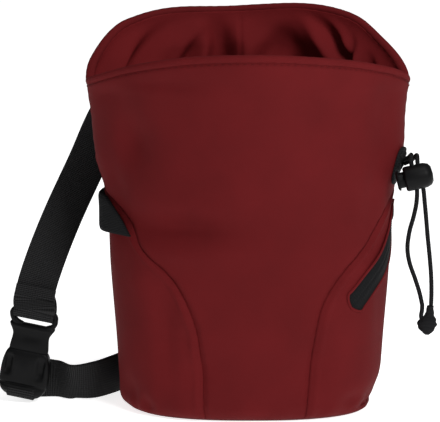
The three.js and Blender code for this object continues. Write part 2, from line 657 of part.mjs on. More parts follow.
// A slot that runs up and down through the cord lock, from one place along it to another.
function cordSlot(start, end) {
  const width = CORD_DIAMETER + 2 * LOCK_CLEARANCE;
  const radius = width / 2;
  const shape = new THREE.Shape();
  shape.absarc(end - radius, 0, radius, -Math.PI / 2, Math.PI / 2, false);
  shape.absarc(start + radius, 0, radius, Math.PI / 2, 1.5 * Math.PI, false);
  const depth = 2 * LOCK_DIAMETER;
  const geometry = new THREE.ExtrudeGeometry(shape, { depth, bevelEnabled: false, curveSegments: 4 });
  return solid(geometry.translate(0, 0, -depth / 2));
}

const lockSlotEnd = LOCK_SLOT_START + CORD_SPACING + CORD_DIAMETER + 2 * LOCK_CLEARANCE;

function lockBarrel() {
  const radius = LOCK_DIAMETER / 2;
  const bore = LOCK_BORE / 2;
  const floor = LOCK_LENGTH - LOCK_END_WALL;
  const profile = [
    [bore, 0], [radius - 0.8, 0], [radius, 0.8], [radius, LOCK_LENGTH - 4], [radius - 0.9, LOCK_LENGTH - 1.6],
    [radius - 2.6, LOCK_LENGTH - 0.4], [0, LOCK_LENGTH], [0, floor], [bore, floor], [bore, 0],
  ];
  const barrel = solid(turnedAboutX(profile, 16));
  return geometryOf(barrel.subtract(cordSlot(LOCK_SLOT_START, lockSlotEnd)));
}

function lockPlunger() {
  const stem = LOCK_BORE / 2 - LOCK_CLEARANCE;
  const stemEnd = LOCK_LENGTH - LOCK_END_WALL - LOCK_TRAVEL - LOCK_CLEARANCE;
  const head = -LOCK_TRAVEL - LOCK_CLEARANCE;
  const radius = BUTTON_DIAMETER / 2;
  const profile = [
    [0, head - BUTTON_HEIGHT], [radius - 1.2, head - BUTTON_HEIGHT], [radius, head - BUTTON_HEIGHT + 0.5],
    [radius, head], [stem, head], [stem, stemEnd], [0, stemEnd],
  ];
  const plunger = solid(turnedAboutX(profile, 16));
  return geometryOf(plunger.subtract(cordSlot(LOCK_SLOT_START - LOCK_TRAVEL, lockSlotEnd)));
}

function cordTube(route) {
  const line = new THREE.CatmullRomCurve3(route.map((place) => new THREE.Vector3(...place)));
  const section = new THREE.Shape();
  for (let i = 0; i < CORD_SIDES; i += 1) {
    const angle = (2 * Math.PI * i) / CORD_SIDES;
    const x = (CORD_DIAMETER / 2) * Math.cos(angle);
    const y = (CORD_DIAMETER / 2) * Math.sin(angle);
    if (i === 0) section.moveTo(x, y);
    else section.lineTo(x, y);
  }
  return new THREE.ExtrudeGeometry(section, { steps: CORD_STEPS, extrudePath: line });
}

function knot() {
  const half = KNOT_HEIGHT / 2;
  const radius = KNOT_WIDTH / 2;
  const profile = [
    [0, -half], [0.35 * radius, -0.95 * half], [0.75 * radius, -0.62 * half], [radius, -0.1 * half],
    [0.95 * radius, 0.35 * half], [0.72 * radius, 0.8 * half], [0.66 * radius, half], [0, half],
  ].map(([x, y]) => new THREE.Vector2(x, y));
  return new THREE.LatheGeometry(profile, 12).rotateX(Math.PI / 2);
}

function eyelet() {
  const tall = EYELET_SIZE / 2;
  const hole = EYELET_HOLE / 2;
  const profile = [
    [hole, 0], [tall, 0], [tall, 0.7 * EYELET_THICKNESS], [(tall + hole) / 2, EYELET_THICKNESS],
    [hole, 0.7 * EYELET_THICKNESS], [hole, 0],
  ].map(([x, y]) => new THREE.Vector2(x, y));
  return new THREE.LatheGeometry(profile, 16).rotateX(Math.PI / 2);
}

// Materials
const fabricColour = 0x651d1f;
const webbingColour = 0x1b1b1c;
const finish = (color, roughness, metalness = 0) =>
  new THREE.MeshStandardMaterial({ color, roughness, metalness, side: THREE.DoubleSide });
const redFabric = () => finish(fabricColour, 0.85);
const blackWebbing = () => finish(webbingColour, 0.75);
const blackPlastic = () => finish(0x161617, 0.45);
const cordCover = () => finish(0x141415, 0.8);

// Assembly
const chalkBag = new THREE.Group();
function add(parent, name, geometry, material) {
  const mesh = new THREE.Mesh(geometry, material);
  mesh.name = name;
  parent.add(mesh);
  return mesh;
}

const frontEndTurn = (height) => 2 * Math.PI + rightFrontTurn(height);
const frontPanel = panel(leftFrontTurn, frontEndTurn, HALF_COLUMNS, true);
const backPanel = panel(rightBackTurn, leftBackTurn, HALF_COLUMNS, true);
const rightSidePanel = panel(rightFrontTurn, rightBackTurn, SIDE_COLUMNS, false);
const leftSidePanel = panel(leftBackTurn, leftFrontTurn, SIDE_COLUMNS, false);
add(chalkBag, 'front_panel', frontPanel, redFabric());
add(chalkBag, 'back_panel', backPanel, redFabric());
add(chalkBag, 'right_side_panel', rightSidePanel, redFabric());
add(chalkBag, 'left_side_panel', leftSidePanel, redFabric());
add(chalkBag, 'base_panel', basePanel(), redFabric());
add(chalkBag, 'rim_binding', rimBinding(), redFabric());
add(chalkBag, 'inner_collar', innerCollar(), redFabric());
add(chalkBag, 'zip_tape', zipTape(), blackWebbing());
add(chalkBag, 'brush_loop', brushLoop(), blackWebbing());
add(chalkBag, 'belt_loop', beltLoop(), blackWebbing());
add(chalkBag, 'belt_webbing', beltWebbing(), blackWebbing());

// The zip's slider stands on the coil near the upper end.
const sliderFrame = zipFrame(0.9, 3 * SEAM_GAP + ZIP_TAPE + ZIP_COIL_HEIGHT);
const sliderBody = boxAt(SLIDER_SIZE * 0.7, SLIDER_SIZE, SLIDER_HEIGHT, 0, 0, SLIDER_HEIGHT / 2);
const slider = add(chalkBag, 'zip_slider', sliderBody, blackPlastic());
slider.position.copy(sliderFrame.centre);
slider.quaternion.setFromRotationMatrix(new THREE.Matrix4().makeBasis(
  new THREE.Vector3().crossVectors(sliderFrame.along, sliderFrame.out).normalize(),
  sliderFrame.along, sliderFrame.out));

// The buckle's two halves share one turned group: x across, y up along the buckle, z to the back.
const buckle = new THREE.Group();
buckle.position.copy(BUCKLE_PLACE);
buckle.rotation.set(Math.PI / 2, degrees(BUCKLE_LEAN), degrees(-BUCKLE_TURN), 'ZYX');
add(buckle, 'buckle_insert', buckleInsert(), blackPlastic());
add(buckle, 'buckle_socket', buckleSocket(), blackPlastic());
chalkBag.add(buckle);

const lock = new THREE.Group();
lock.position.copy(LOCK_PLACE);
lock.rotation.y = degrees(-LOCK_TILT);
add(lock, 'cord_lock_barrel', lockBarrel(), blackPlastic());
add(lock, 'cord_lock_plunger', lockPlunger(), blackPlastic());
chalkBag.add(lock);

add(chalkBag, 'drawcord_near_strand', cordTube(NEAR_STRAND), cordCover());
add(chalkBag, 'drawcord_far_strand', cordTube(FAR_STRAND), cordCover());
add(chalkBag, 'cord_knot', knot(), cordCover()).position.copy(KNOT_PLACE);

// The eyelet lies flat on the shell's right side, where the drawcord comes out.
const eyeletTurn = degrees(EYELET_ANGLE);
const eyeletReach = EYELET_SIZE / 2;
const eyeletPlace = shellPoint(eyeletTurn, EYELET_HEIGHT, 0);
const eyeletStep = turnForLength(eyeletTurn, EYELET_HEIGHT, eyeletReach);
const eyeletSide = shellPoint(eyeletTurn + eyeletStep, EYELET_HEIGHT, 0);
eyeletSide.sub(shellPoint(eyeletTurn - eyeletStep, EYELET_HEIGHT, 0)).normalize();
const eyeletRise = shellPoint(eyeletTurn, EYELET_HEIGHT + eyeletReach, 0);
eyeletRise.sub(shellPoint(eyeletTurn, EYELET_HEIGHT - eyeletReach, 0)).normalize();
const eyeletOut = new THREE.Vector3().crossVectors(eyeletSide, eyeletRise).normalize();
const ring = add(chalkBag, 'cord_eyelet', eyelet(), blackPlastic());
ring.position.copy(eyeletPlace).addScaledVector(eyeletOut, 2 * SEAM_GAP);
ring.quaternion.setFromUnitVectors(UP, eyeletOut);

export default chalkBag;
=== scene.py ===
"""A climbing chalk bag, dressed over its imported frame.

Every shape is a numpy surface in millimetres, put into its mesh in metres. +X is to the right,
+Y to the back, +Z up, and the origin is the middle of the base on the ground.
"""
import math

import bpy
import numpy as np
from mathutils import Matrix, Vector


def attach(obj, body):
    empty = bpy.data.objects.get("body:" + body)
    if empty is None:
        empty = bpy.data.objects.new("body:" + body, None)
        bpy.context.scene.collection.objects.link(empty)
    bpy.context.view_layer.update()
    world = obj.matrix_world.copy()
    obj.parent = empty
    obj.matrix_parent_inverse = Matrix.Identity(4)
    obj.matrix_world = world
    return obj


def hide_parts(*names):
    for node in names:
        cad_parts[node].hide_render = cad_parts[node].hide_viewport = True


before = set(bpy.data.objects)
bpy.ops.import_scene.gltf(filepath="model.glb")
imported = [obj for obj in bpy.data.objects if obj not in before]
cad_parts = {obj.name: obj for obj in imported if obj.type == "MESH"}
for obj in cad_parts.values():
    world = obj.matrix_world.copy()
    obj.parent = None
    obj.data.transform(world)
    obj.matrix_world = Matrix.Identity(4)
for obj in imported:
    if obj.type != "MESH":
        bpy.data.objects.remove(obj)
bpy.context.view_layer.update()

MM = 0.001
TAU = 2 * math.pi

# Shell sizes, as in the frame
RIM_HALF_WIDTH = 82.0
RIM_HALF_DEPTH = 53.0
SIDE_RIM = 166.0
FRONT_RIM = 183.9
FRONT_RIM_CURVE = 1.5
FRONT_RIM_SKEW = 0.3
BACK_RIM = 197.8
SHELL_WALL = 2.0
BASE_ROUNDING = 8.0
BASE_EDGE_ANGLE = math.radians(27)
SEAM_GAP = 0.3
SEAM_CRACK = 0.04
SIDE_SHORTER = 0.12
FRONT_SEAM_HEIGHT = 109.0
BACK_SEAM_HEIGHT = 128.0
LIP_HEIGHT = 3.0
COLLAR_WALL = 1.3
COLLAR_GAP = 0.4
CHANNEL_HEIGHT = 125.0
CHANNEL_SIZE = 6.0

# The mouth leans to the left, and the rim is drawn in at its two ends and creased below
LEAN = 1.2
LEAN_START, LEAN_SPAN = 120.0, 45.0
END_ROUNDING, END_SPREAD, END_HEIGHT = 0.5, 0.16, 9.0
RIM_CREASE, CREASE_HEIGHT = 0.5, 1.1

# Seams of the panels: half widths of the dip and of the ridge beside it, how far in the puff
# starts, the puckers, and how far from the rim and the foot all of them fade out
SEAM_HALF_WIDTH = 2.0
RIDGE_PLACE, RIDGE_HALF_WIDTH = 3.2, 1.5
PUFF_REACH = 7.0
PUCKER_DEPTH, PUCKER_LENGTH, PUCKER_REACH = 0.14, 5.5, 4.0
FADE_AT_RIM, FADE_AT_FOOT = 8.0, 4.0

# Points round the rim and the collar, rows of the rounding at the base, and mm of cloth to a
# radian of turn
RIM_STEPS = 420
ROUNDING_ROWS = 9
CLOTH_RADIUS = 68.0

# Height share, width share, depth share, squareness and pinch of the shell's sections
SECTIONS = np.array([
    [0.00, 0.785, 0.83, 0.80, 0.00],
    [0.19, 0.805, 0.86, 0.82, 0.00],
    [0.43, 0.842, 0.88, 0.88, 0.00],
    [0.60, 0.855, 0.88, 0.94, 0.06],
    [0.67, 0.880, 0.89, 0.97, 0.10],
    [0.77, 0.937, 0.91, 1.00, 0.18],
    [0.89, 0.955, 0.94, 1.00, 0.28],
    [0.96, 0.975, 0.96, 1.00, 0.34],
    [1.00, 0.988, 0.97, 0.98, 0.36],
    [1.20, 0.988, 1.00, 0.98, 0.36],
])

# Turn in degrees and rise in mm of the worn rim behind
RIM_WAVES = np.array([
    [0, 0.0],
    [18, 0.3],
    [34, -0.8],
    [45, 0.7],
    [56, 0.4],
    [71, -0.2],
    [86, -1.7],
    [97, -2.4],
    [108, -2.0],
    [124, -0.2],
    [134, 1.2],
    [145, 3.6],
    [160, 3.6],
    [171, 3.2],
    [180, 0.0],
])

# Height share, left share and right share of the front seams
FRONT_SEAMS = np.array([
    [0.00, 0.360, 0.420],
    [0.21, 0.367, 0.455],
    [0.34, 0.385, 0.475],
    [0.44, 0.407, 0.490],
    [0.54, 0.462, 0.523],
    [0.63, 0.540, 0.600],
    [0.70, 0.635, 0.690],
    [0.80, 0.795, 0.845],
    [0.91, 0.905, 0.945],
    [1.00, 1.000, 1.000],
])

# Height share and half width share of the back seams
BACK_SEAMS = np.array([
    [0.00, 0.70],
    [0.35, 0.73],
    [0.60, 0.80],
    [0.80, 0.89],
    [0.93, 0.97],
    [1.00, 1.00],
])

# The zip's middle line: place, height share of the front seams, turn in degrees
ZIP_LINE = np.array([
    [0.00, 0.525, -46.5],
    [0.25, 0.62, -34],
    [0.50, 0.71, -19],
    [0.75, 0.82, -6],
    [1.00, 0.93, 4],
])
ZIP_WIDTH = 11.8
LOOP_HEIGHT = 16.8
LOOP_STANDOFF = 3.4

# The belt's line in shares of the rim's half width and half depth and of the belt loop's height,
# and the direction of the webbing's width
BELT_LOOP_MIDDLE = 172.0
BELT_LOOP_LENGTH = 42.0
BELT_LOOP_WIDTH = 26.0
WEBBING_WIDTH = 20.0
WEBBING_THICKNESS = 1.5
BELT_LINE = np.array([
    [-1.332, 0.02, 0.291, 0.98, -0.12, -0.15],
    [-1.308, 0.10, 0.345, 0.97, -0.10, -0.20],
    [-1.255, 0.24, 0.420, 0.95, -0.05, -0.30],
    [-1.160, 0.50, 0.528, 0.91, 0.05, -0.40],
    [-1.018, 0.78, 0.668, 0.90, 0.05, -0.43],
    [-0.876, 0.97, 0.812, 0.88, 0.05, -0.48],
    [-0.690, 1.01, 0.930, 0.65, 0.02, -0.76],
    [-0.400, 1.00, 0.987, 0.25, 0.00, -0.97],
    [0.000, 1.00, 1.000, 0.00, 0.00, -1.00],
    [0.170, 1.00, 0.996, -0.03, 0.00, -1.00],
    [0.340, 1.00, 0.970, -0.20, -0.25, -0.95],
    [0.620, 1.00, 0.860, -0.50, -0.62, -0.60],
    [0.780, 0.98, 0.690, -0.35, -0.93, -0.12],
    [0.830, 0.97, 0.490, 0.00, -1.00, 0.00],
    [0.800, 0.98, 0.300, -0.18, -0.97, 0.04],
    [0.660, 1.02, 0.150, -0.55, -0.70, 0.44],
    [0.420, 1.06, 0.078, -0.27, -0.30, 0.90],
    [0.100, 1.06, 0.062, 0.00, 0.00, 1.00],
    [-0.280, 1.04, 0.062, 0.00, 0.00, 1.00],
    [-0.600, 0.90, 0.062, 0.00, 0.00, 1.00],
    [-0.730, 0.62, 0.062, 0.00, 0.00, 1.00],
    [-0.850, 0.29, 0.062, 0.00, -0.05, 1.00],
    [-0.970, 0.06, 0.062, 0.03, -0.18, 0.98],
    [-1.090, 0.02, 0.060, 0.06, -0.36, 0.92],
    [-1.190, 0.13, 0.061, 0.08, -0.20, 0.96],
    [-1.300, 0.150, 0.062, 0.12, 0.00, 0.98],
    [-1.410, 0.122, 0.063, 0.16, 0.00, 0.98],
])

# Drawcord routes, as in the frame
CORD_DIAMETER = 2.2
NEAR_STRAND = np.array([
    [76.0, -9.3, 125.9], [78.0, -10.4, 127.0], [79.2, -13.0, 128.8], [79.2, -16.2, 129.4],
    [79.0, -18.4, 128.2], [79.1, -19, 126], [79.8, -19, 123], [80.6, -19, 119.4], [81.4, -19, 116],
    [82.1, -19, 112.4], [81.9, -19, 106], [80.6, -19.2, 99.2], [78.6, -19.4, 91.6],
    [77.7, -19.6, 83.1], [78.8, -19.6, 76], [81.6, -19.3, 68], [84.0, -19, 60.5], [85.4, -19, 54.4],
])
FAR_STRAND = np.array([
    [76.3, -7.5, 123.6], [79.2, -8.6, 125.2], [81.2, -11.8, 127.6], [82.0, -15.4, 129.2],
    [82.1, -18.0, 128.4], [82.2, -19, 126], [82.9, -19, 123], [83.7, -19, 119.4], [84.5, -19, 116],
    [85.3, -19, 112.4], [86.0, -19, 106], [86.7, -19, 99.2], [87.7, -19, 88.6], [88.7, -19, 79.6],
    [89.6, -19, 69.5], [89.9, -19, 61], [89.8, -19, 54.4],
])
KNOT_PLACE = np.array([87.8, -19.0, 46.6])

# Folds of the collar: turn at the rim and at the middle of the collar in degrees, width in
# degrees, depth in mm, and how far down it starts as a share of the collar
COLLAR_FOLDS = np.array([
    [66, 35, 4.2, 8.0, 0.00],
    [48, 38, 2.2, 4.0, 0.06],
    [36, 27, 4.0, 5.5, 0.08],
    [79, 69, 7.0, 7.0, 0.06],
    [76, 84, 4.0, 4.0, 0.10],
    [101, 100, 4.2, 6.5, 0.00],
    [103, 118, 3.0, 4.5, 0.08],
    [119, 153, 7.5, 5.5, 0.02],
    [165, 172, 5.0, 4.5, 0.10],
    [200, 205, 5.0, 5.0, 0.10],
    [222, 219, 4.0, 6.0, 0.10],
    [246, 250, 5.0, 6.0, 0.10],
    [270, 268, 4.5, 5.0, 0.10],
    [291, 296, 5.0, 6.0, 0.10],
    [318, 314, 4.0, 5.0, 0.10],
    [338, 342, 4.0, 5.0, 0.10],
])


# Tables and the shell's surface

def column(table, index):
    """A table column as a smooth function of its first column: a cubic through the rows whose
    slope at a row is that of the line between its two neighbours."""
    places, values = table[:, 0], table[:, index]
    before = np.maximum(np.arange(len(places)) - 1, 0)
    after = np.minimum(np.arange(len(places)) + 1, len(places) - 1)
    slopes = (values[after] - values[before]) / (places[after] - places[before])

    def at(where):
        place = np.clip(where, places[0], places[-1])
        i = np.clip(np.searchsorted(places, place, side="right") - 1, 0, len(places) - 2)
        step = places[i + 1] - places[i]
        t = (place - places[i]) / step
        rise = values[i + 1] - values[i]
        curve = (slopes[i] * step - rise) * (1 - t) - (slopes[i + 1] * step - rise) * t
        return values[i] + rise * t + curve * t * (1 - t)

    return at


WIDTH, DEPTH, SQUARE, PINCH = (column(SECTIONS, i) for i in (1, 2, 3, 4))
LEFT_SEAM, RIGHT_SEAM = column(FRONT_SEAMS, 1), column(FRONT_SEAMS, 2)
BACK_SEAM = column(BACK_SEAMS, 1)
ZIP_HEIGHT, ZIP_TURN = column(ZIP_LINE, 1), column(ZIP_LINE, 2)
RIM_WAVE = column(RIM_WAVES, 1)


def smooth(share):
    """0 to 1 with flat ends: three squares less two cubes."""
    t = np.clip(share, 0, 1)
    return t * t * (3 - 2 * t)


def bell(away, spread):
    """1 in the middle, falling off with the square of how far away."""
    return np.exp(-(away / spread) ** 2)


def turn_gap(turn, middle):
    """How far a turn is from a middle one, the short way round."""
    return (turn - middle + math.pi) % TAU - math.pi


def unit(v):
    """Vectors divided by their own lengths."""
    return v / np.maximum(np.linalg.norm(v, axis=-1, keepdims=True), 1e-9)


def square_to(across, along):
    """Directions across, turned square to the directions along."""
    return unit(across - along * (across * along).sum(1, keepdims=True))


def run_along(points, axis=0):
    """The distance run along lines of points, from 0."""
    steps = np.linalg.norm(np.diff(points, axis=axis), axis=-1)
    start = np.zeros_like(np.take(steps, [0], axis=axis))
    return np.concatenate([start, np.cumsum(steps, axis=axis)], axis=axis)


def circle(count):
    """Points round a circle of radius 1: the cosine and sine of even angles."""
    angle = np.arange(count) / count * TAU
    return np.stack([np.cos(angle), np.sin(angle)], -1)


def oblong(count, power):
    """Points round a rounded oblong of half width and half height 1: a circle's cosine and sine
    raised to a power below 1."""
    round_points = circle(count)
    return np.sign(round_points) * np.abs(round_points) ** power


def shell_point(turn, height, inset=0.0, section_height=None):
    """A point of the shell: an oval whose cosine and sine are raised to the section's squareness,
    with its depth narrowed towards both ends by the pinch. Turn 0 is the right side."""
    level = (height if section_height is None else section_height) / SIDE_RIM
    turn, height, inset, level = np.broadcast_arrays(turn, height, inset, level)
    along, across = np.cos(turn), np.sin(turn)
    power = SQUARE(level)
    swell = 1 - PINCH(level) * along * along
    x = (RIM_HALF_WIDTH * WIDTH(level) - inset) * np.sign(along) * np.abs(along) ** power
    y = (RIM_HALF_DEPTH * DEPTH(level) - inset) * np.sign(across) * np.abs(across) ** power * swell
    x = x - LEAN * smooth((height - LEAN_START) / LEAN_SPAN)
    return np.stack([x, y, height], axis=-1)


def rim_height(turn):
    """The rim's height: lowest at its two ends, higher in front, where it is fuller on the right,
    and highest behind, with the waves of its table."""
    share = np.abs(np.sin(turn))
    curve = FRONT_RIM_CURVE - FRONT_RIM_SKEW * np.cos(turn)
    front = SIDE_RIM + (FRONT_RIM - SIDE_RIM) * share ** curve
    wave = RIM_WAVE(np.degrees(np.arccos(np.cos(turn))))
    back = SIDE_RIM + (BACK_RIM - SIDE_RIM) * smooth(share) + wave
    return np.where(np.sin(turn) < 0, front, back)


def end_rounding(turn):
    """How far the rim is drawn in near its two ends."""
    return END_ROUNDING * bell(np.sin(turn), END_SPREAD)


def turn_of(share, height):
    """The turn at which the shell lies a share of its half width from the middle."""
    return np.arccos(np.minimum(share, 1) ** (1 / SQUARE(height / SIDE_RIM)))


def right_front(height):
    """The turn of the right front seam: minus the turn of its share of the half width."""
    return -turn_of(RIGHT_SEAM(height / FRONT_SEAM_HEIGHT), height)


def left_front(height):
    """The turn of the left front seam: half a turn and the turn of its share."""
    return math.pi + turn_of(LEFT_SEAM(height / FRONT_SEAM_HEIGHT), height)


def right_back(height):
    """The turn of the right back seam: the turn of its share of the half width."""
    return turn_of(BACK_SEAM(height / BACK_SEAM_HEIGHT), height)


def left_back(height):
    """The turn of the left back seam, the right one's mirror image."""
    return math.pi - right_back(height)


# Number and depth in mm of the shell's slow waves, and of its puckers at the foot
WAVES, WAVE_DEPTH = 7, 0.5
PUCKERS, FOOT_DEPTH, FOOT_MIDDLE, FOOT_SPREAD = 23, 0.35, 4.0, 7.0

# Soft dents of the shell: turn in degrees, height, spread in degrees, spread in mm, depth in mm
DENTS = np.array([
    [238, 97, 26, 7.0, 5.6],
    [244, 85, 20, 6.0, -1.6],
    [221, 138, 10, 14, 5.4],
    [212, 162, 12, 9, 1.6],
    [205, 118, 9, 24, 1.6],
    [240, 168, 18, 4, 1.0],
    [328, 128, 9, 40, 2.6],
    [300, 150, 12, 12, 1.0],
    [340, 60, 9, 30, 1.2],
    [236, 45, 7, 30, 2.6],
    [222, 70, 9, 16, -1.2],
    [294, 30, 9, 12, 1.6],
    [252, 26, 9, 9, 1.6],
    [246, 42, 4, 6, 1.1],
    [205, 12, 12, 8, 2.2],
    [222, 6, 8, 4, 2.0],
    [318, 9, 8, 4, 1.6],
    [346, 4, 26, 9.5, 5.0],
    [60, 70, 16, 40, 2.6],
    [118, 92, 14, 36, 2.6],
    [90, 40, 16, 20, 2.0],
    [150, 60, 10, 30, 2.0],
    [30, 40, 10, 26, 2.0],
    [82, 122, 22, 5, 2.0],
])


def slack(turn, height):
    """How far the cloth sinks in, in mm: the dents of the table, slow waves that grow towards the
    rim, and small puckers round the foot."""
    level = height / SIDE_RIM
    waves = WAVE_DEPTH * np.sin(WAVES * turn + 3 * level) * smooth((level - 0.3) / 0.6)
    foot = FOOT_DEPTH * np.sin(PUCKERS * turn + 2 * np.sin(5 * turn))
    sunk = waves + foot * bell(height - FOOT_MIDDLE, FOOT_SPREAD)
    for middle, centre, wide, tall, deep in DENTS:
        gap = turn_gap(turn, math.radians(middle))
        sunk = sunk + deep * bell(gap, math.radians(wide)) * bell(height - centre, tall)
    return sunk


# Meshes

def mesh_object(name, points, faces, uv=None):
    """An object at the origin from points in mm. uv is one pair a point, in mm."""
    mesh = bpy.data.meshes.new(name)
    mesh.from_pydata((points * MM).tolist(), [], faces)
    mesh.update()
    if uv is not None:
        layer = mesh.uv_layers.new(name="cloth")
        corner_points = np.empty(len(mesh.loops), dtype=np.int32)
        mesh.loops.foreach_get("vertex_index", corner_points)
        layer.data.foreach_set("uv", (uv[corner_points] * MM).astype(np.float32).ravel())
    mesh.polygons.foreach_set("use_smooth", np.full(len(mesh.polygons), True))
    obj = bpy.data.objects.new(name, mesh)
    bpy.context.scene.collection.objects.link(obj)
    return obj


def grid_faces(rows, columns, around=False, start=0, flip=False):
    """Quads of a grid of points, row by row, closed round its columns if around."""
    last = columns if around else columns - 1
    i, j = np.meshgrid(np.arange(rows - 1), np.arange(last), indexing="ij")
    right = (j + 1) % columns
    here, above = i * columns, (i + 1) * columns
    quads = np.stack([here + j, here + right, above + right, above + j], -1).reshape(-1, 4) + start
    return quads[:, ::-1] if flip else quads


def outward(points, quads):
    """The quads, all turned round if they enclose a negative volume."""
    a, b, c, d = (points[quads[:, k]] for k in range(4))
    volume = (a * np.cross(b, c)).sum() + (a * np.cross(c, d)).sum()
    return quads if volume > 0 else quads[:, ::-1]


def end_caps(sides, rings, turned, start=0):
    """The two flat faces that close a tube's end rings."""
    first = list(range(start, start + sides))
    last = list(range(start + (rings - 1) * sides, start + rings * sides))
    return [first[::-1], last] if turned else [first, last[::-1]]


def tube_faces(points, sides, rings):
    """Faces of a tube from its rings of points: its sides and its two flat ends, facing out."""
    faces = outward(points, grid_faces(rings, sides, True)).tolist()
    return faces + end_caps(sides, rings, faces[0][:2] == [0, 1])


def wall(name, outer, inner, around=False, uv=None):
    """A closed wall between two grids of points, with strips along its free edges."""
    rows, columns = outer.shape[:2]
    points = np.concatenate([outer.reshape(-1, 3), inner.reshape(-1, 3)])
    back = rows * columns
    faces = [grid_faces(rows, columns, around), grid_faces(rows, columns, around, back, True)]
    j = np.arange(columns if around else columns - 1)
    right = (j + 1) % columns
    last = (rows - 1) * columns
    faces.append(np.stack([j, j + back, right + back, right], -1))
    faces.append(np.stack([last + j, last + right, last + right + back, last + j + back], -1))
    if not around:
        i = np.arange(rows - 1) * columns
        end = i + columns - 1
        faces.append(np.stack([i, i + columns, i + columns + back, i + back], -1))
        faces.append(np.stack([end, end + back, end + columns + back, end + columns], -1))
    faces = outward(points, np.concatenate(faces))
    double = None if uv is None else np.concatenate([uv.reshape(-1, 2)] * 2)
    return mesh_object(name, points, faces.tolist(), double)


def tube(name, centres, across, out, section):
    """A section of (across, out) pairs carried along frames, with flat caps at its two ends. The
    section may differ from frame to frame."""
    count = len(centres)
    section = np.broadcast_to(section, (count,) + np.shape(section)[-2:])
    points = centres[:, None] + across[:, None] * section[..., :1] + out[:, None] * section[..., 1:]
    flat = points.reshape(-1, 3)
    ring = run_along(section, 1)
    along = np.broadcast_to(run_along(centres)[:, None], ring.shape)
    uv = np.stack([along, ring], -1).reshape(-1, 2)
    return mesh_object(name, flat, tube_faces(flat, section.shape[1], count), uv)


def spline(points, count, power=0.5):
    """Places and directions along a smooth line through points: the centripetal Catmull-Rom
    curve, sampled evenly in its own parameter between each pair."""
    ends = np.concatenate([[2 * points[0] - points[1]], points, [2 * points[-1] - points[-2]]])
    where = np.linspace(0, len(points) - 1, count)
    i = np.minimum(where.astype(int), len(points) - 2)
    t = (where - i)[:, None]
    p0, p1, p2, p3 = (ends[i + k] for k in range(4))
    d0, d1, d2 = (np.maximum(np.linalg.norm(b - a, axis=-1, keepdims=True) ** power, 1e-6)
                  for a, b in ((p0, p1), (p1, p2), (p2, p3)))
    m1 = ((p1 - p0) / d0 - (p2 - p0) / (d0 + d1) + (p2 - p1) / d1) * d1
    m2 = ((p2 - p1) / d1 - (p3 - p1) / (d1 + d2) + (p3 - p2) / d2) * d1
    place = ((2 * t ** 3 - 3 * t ** 2 + 1) * p1 + (t ** 3 - 2 * t ** 2 + t) * m1
             + (3 * t ** 2 - 2 * t ** 3) * p2 + (t ** 3 - t ** 2) * m2)
    along = np.gradient(place, axis=0)
    return place, unit(along)


# Materials

CLOTH_GLOSS, WEBBING_GLOSS, PLASTIC_GLOSS, FLOOR_GLOSS = 0.07, 0.06, 0.11, 0.1

# How fine the noises are: the cloth's wandering tone and slubs, the plastic's tone, grain and scuffs
TONE_SCALE, SLUB_SCALE = 38.0, 420.0
PLASTIC_TONE_SCALE, GRAIN_SCALE, SCUFF_SCALE = 160.0, 1800.0, 90.0

# How unsteady the ridges of cloth, ribs and yarns are, how much the weave shows in the colour, and
# how far apart and how high the yarns of webbing are beside its ribs
CLOTH_WOBBLE, RIB_WOBBLE, YARN_WOBBLE = 0.6, 0.3, 0.5
WEAVE_IN_COLOUR = 0.28
YARN_PITCH, YARN_SHARE = 1.35, 0.35


def node_material(name, roughness, gloss):
    """A new material with its roughness and gloss set on its shader."""
    material = bpy.data.materials.new(name)
    material.use_nodes = True
    nodes, links = material.node_tree.nodes, material.node_tree.links
    shader = nodes["Principled BSDF"]
    shader.inputs["Roughness"].default_value = roughness
    shader.inputs["Specular IOR Level"].default_value = gloss
    return material, nodes, links, shader


def add_node(nodes, kind, **values):
    """A new node, each value set on its setting of that name or else on its input."""
    node = nodes.new(kind)
    for key, value in values.items():
        if hasattr(node, key):
            setattr(node, key, value)
        else:
            node.inputs[key].default_value = value
    return node


def mottled_colour(nodes, links, dark, light, scale, places):
    """A colour that wanders between two tones with a soft noise."""
    noise = add_node(nodes, "ShaderNodeTexNoise", Scale=scale, Detail=4.0, Roughness=0.55)
    ramp = add_node(nodes, "ShaderNodeValToRGB")
    first, last = ramp.color_ramp.elements
    first.position, last.position = 0.3, 0.72
    first.color, last.color = (*dark, 1), (*light, 1)
    links.new(places, noise.inputs["Vector"])
    links.new(noise.outputs["Fac"], ramp.inputs["Fac"])
    return ramp.outputs["Color"]


def bands(nodes, links, direction, pitch, wobble):
    """Ridges a pitch apart across one direction of the UV map. The wave's own period is TAU / 20."""
    wave = add_node(nodes, "ShaderNodeTexWave", wave_type="BANDS", bands_direction=direction,
                    wave_profile="SIN", Scale=TAU / (20 * pitch * MM), Distortion=wobble)
    place = add_node(nodes, "ShaderNodeUVMap", uv_map="cloth")
    links.new(place.outputs["UV"], wave.inputs["Vector"])
    return wave


def raised(nodes, links, shader, height, strength, distance):
    """Gives the shader a bump of a height."""
    bump = add_node(nodes, "ShaderNodeBump", Strength=strength, Distance=distance)
    links.new(height, bump.inputs["Height"])
    links.new(bump.outputs["Normal"], shader.inputs["Normal"])


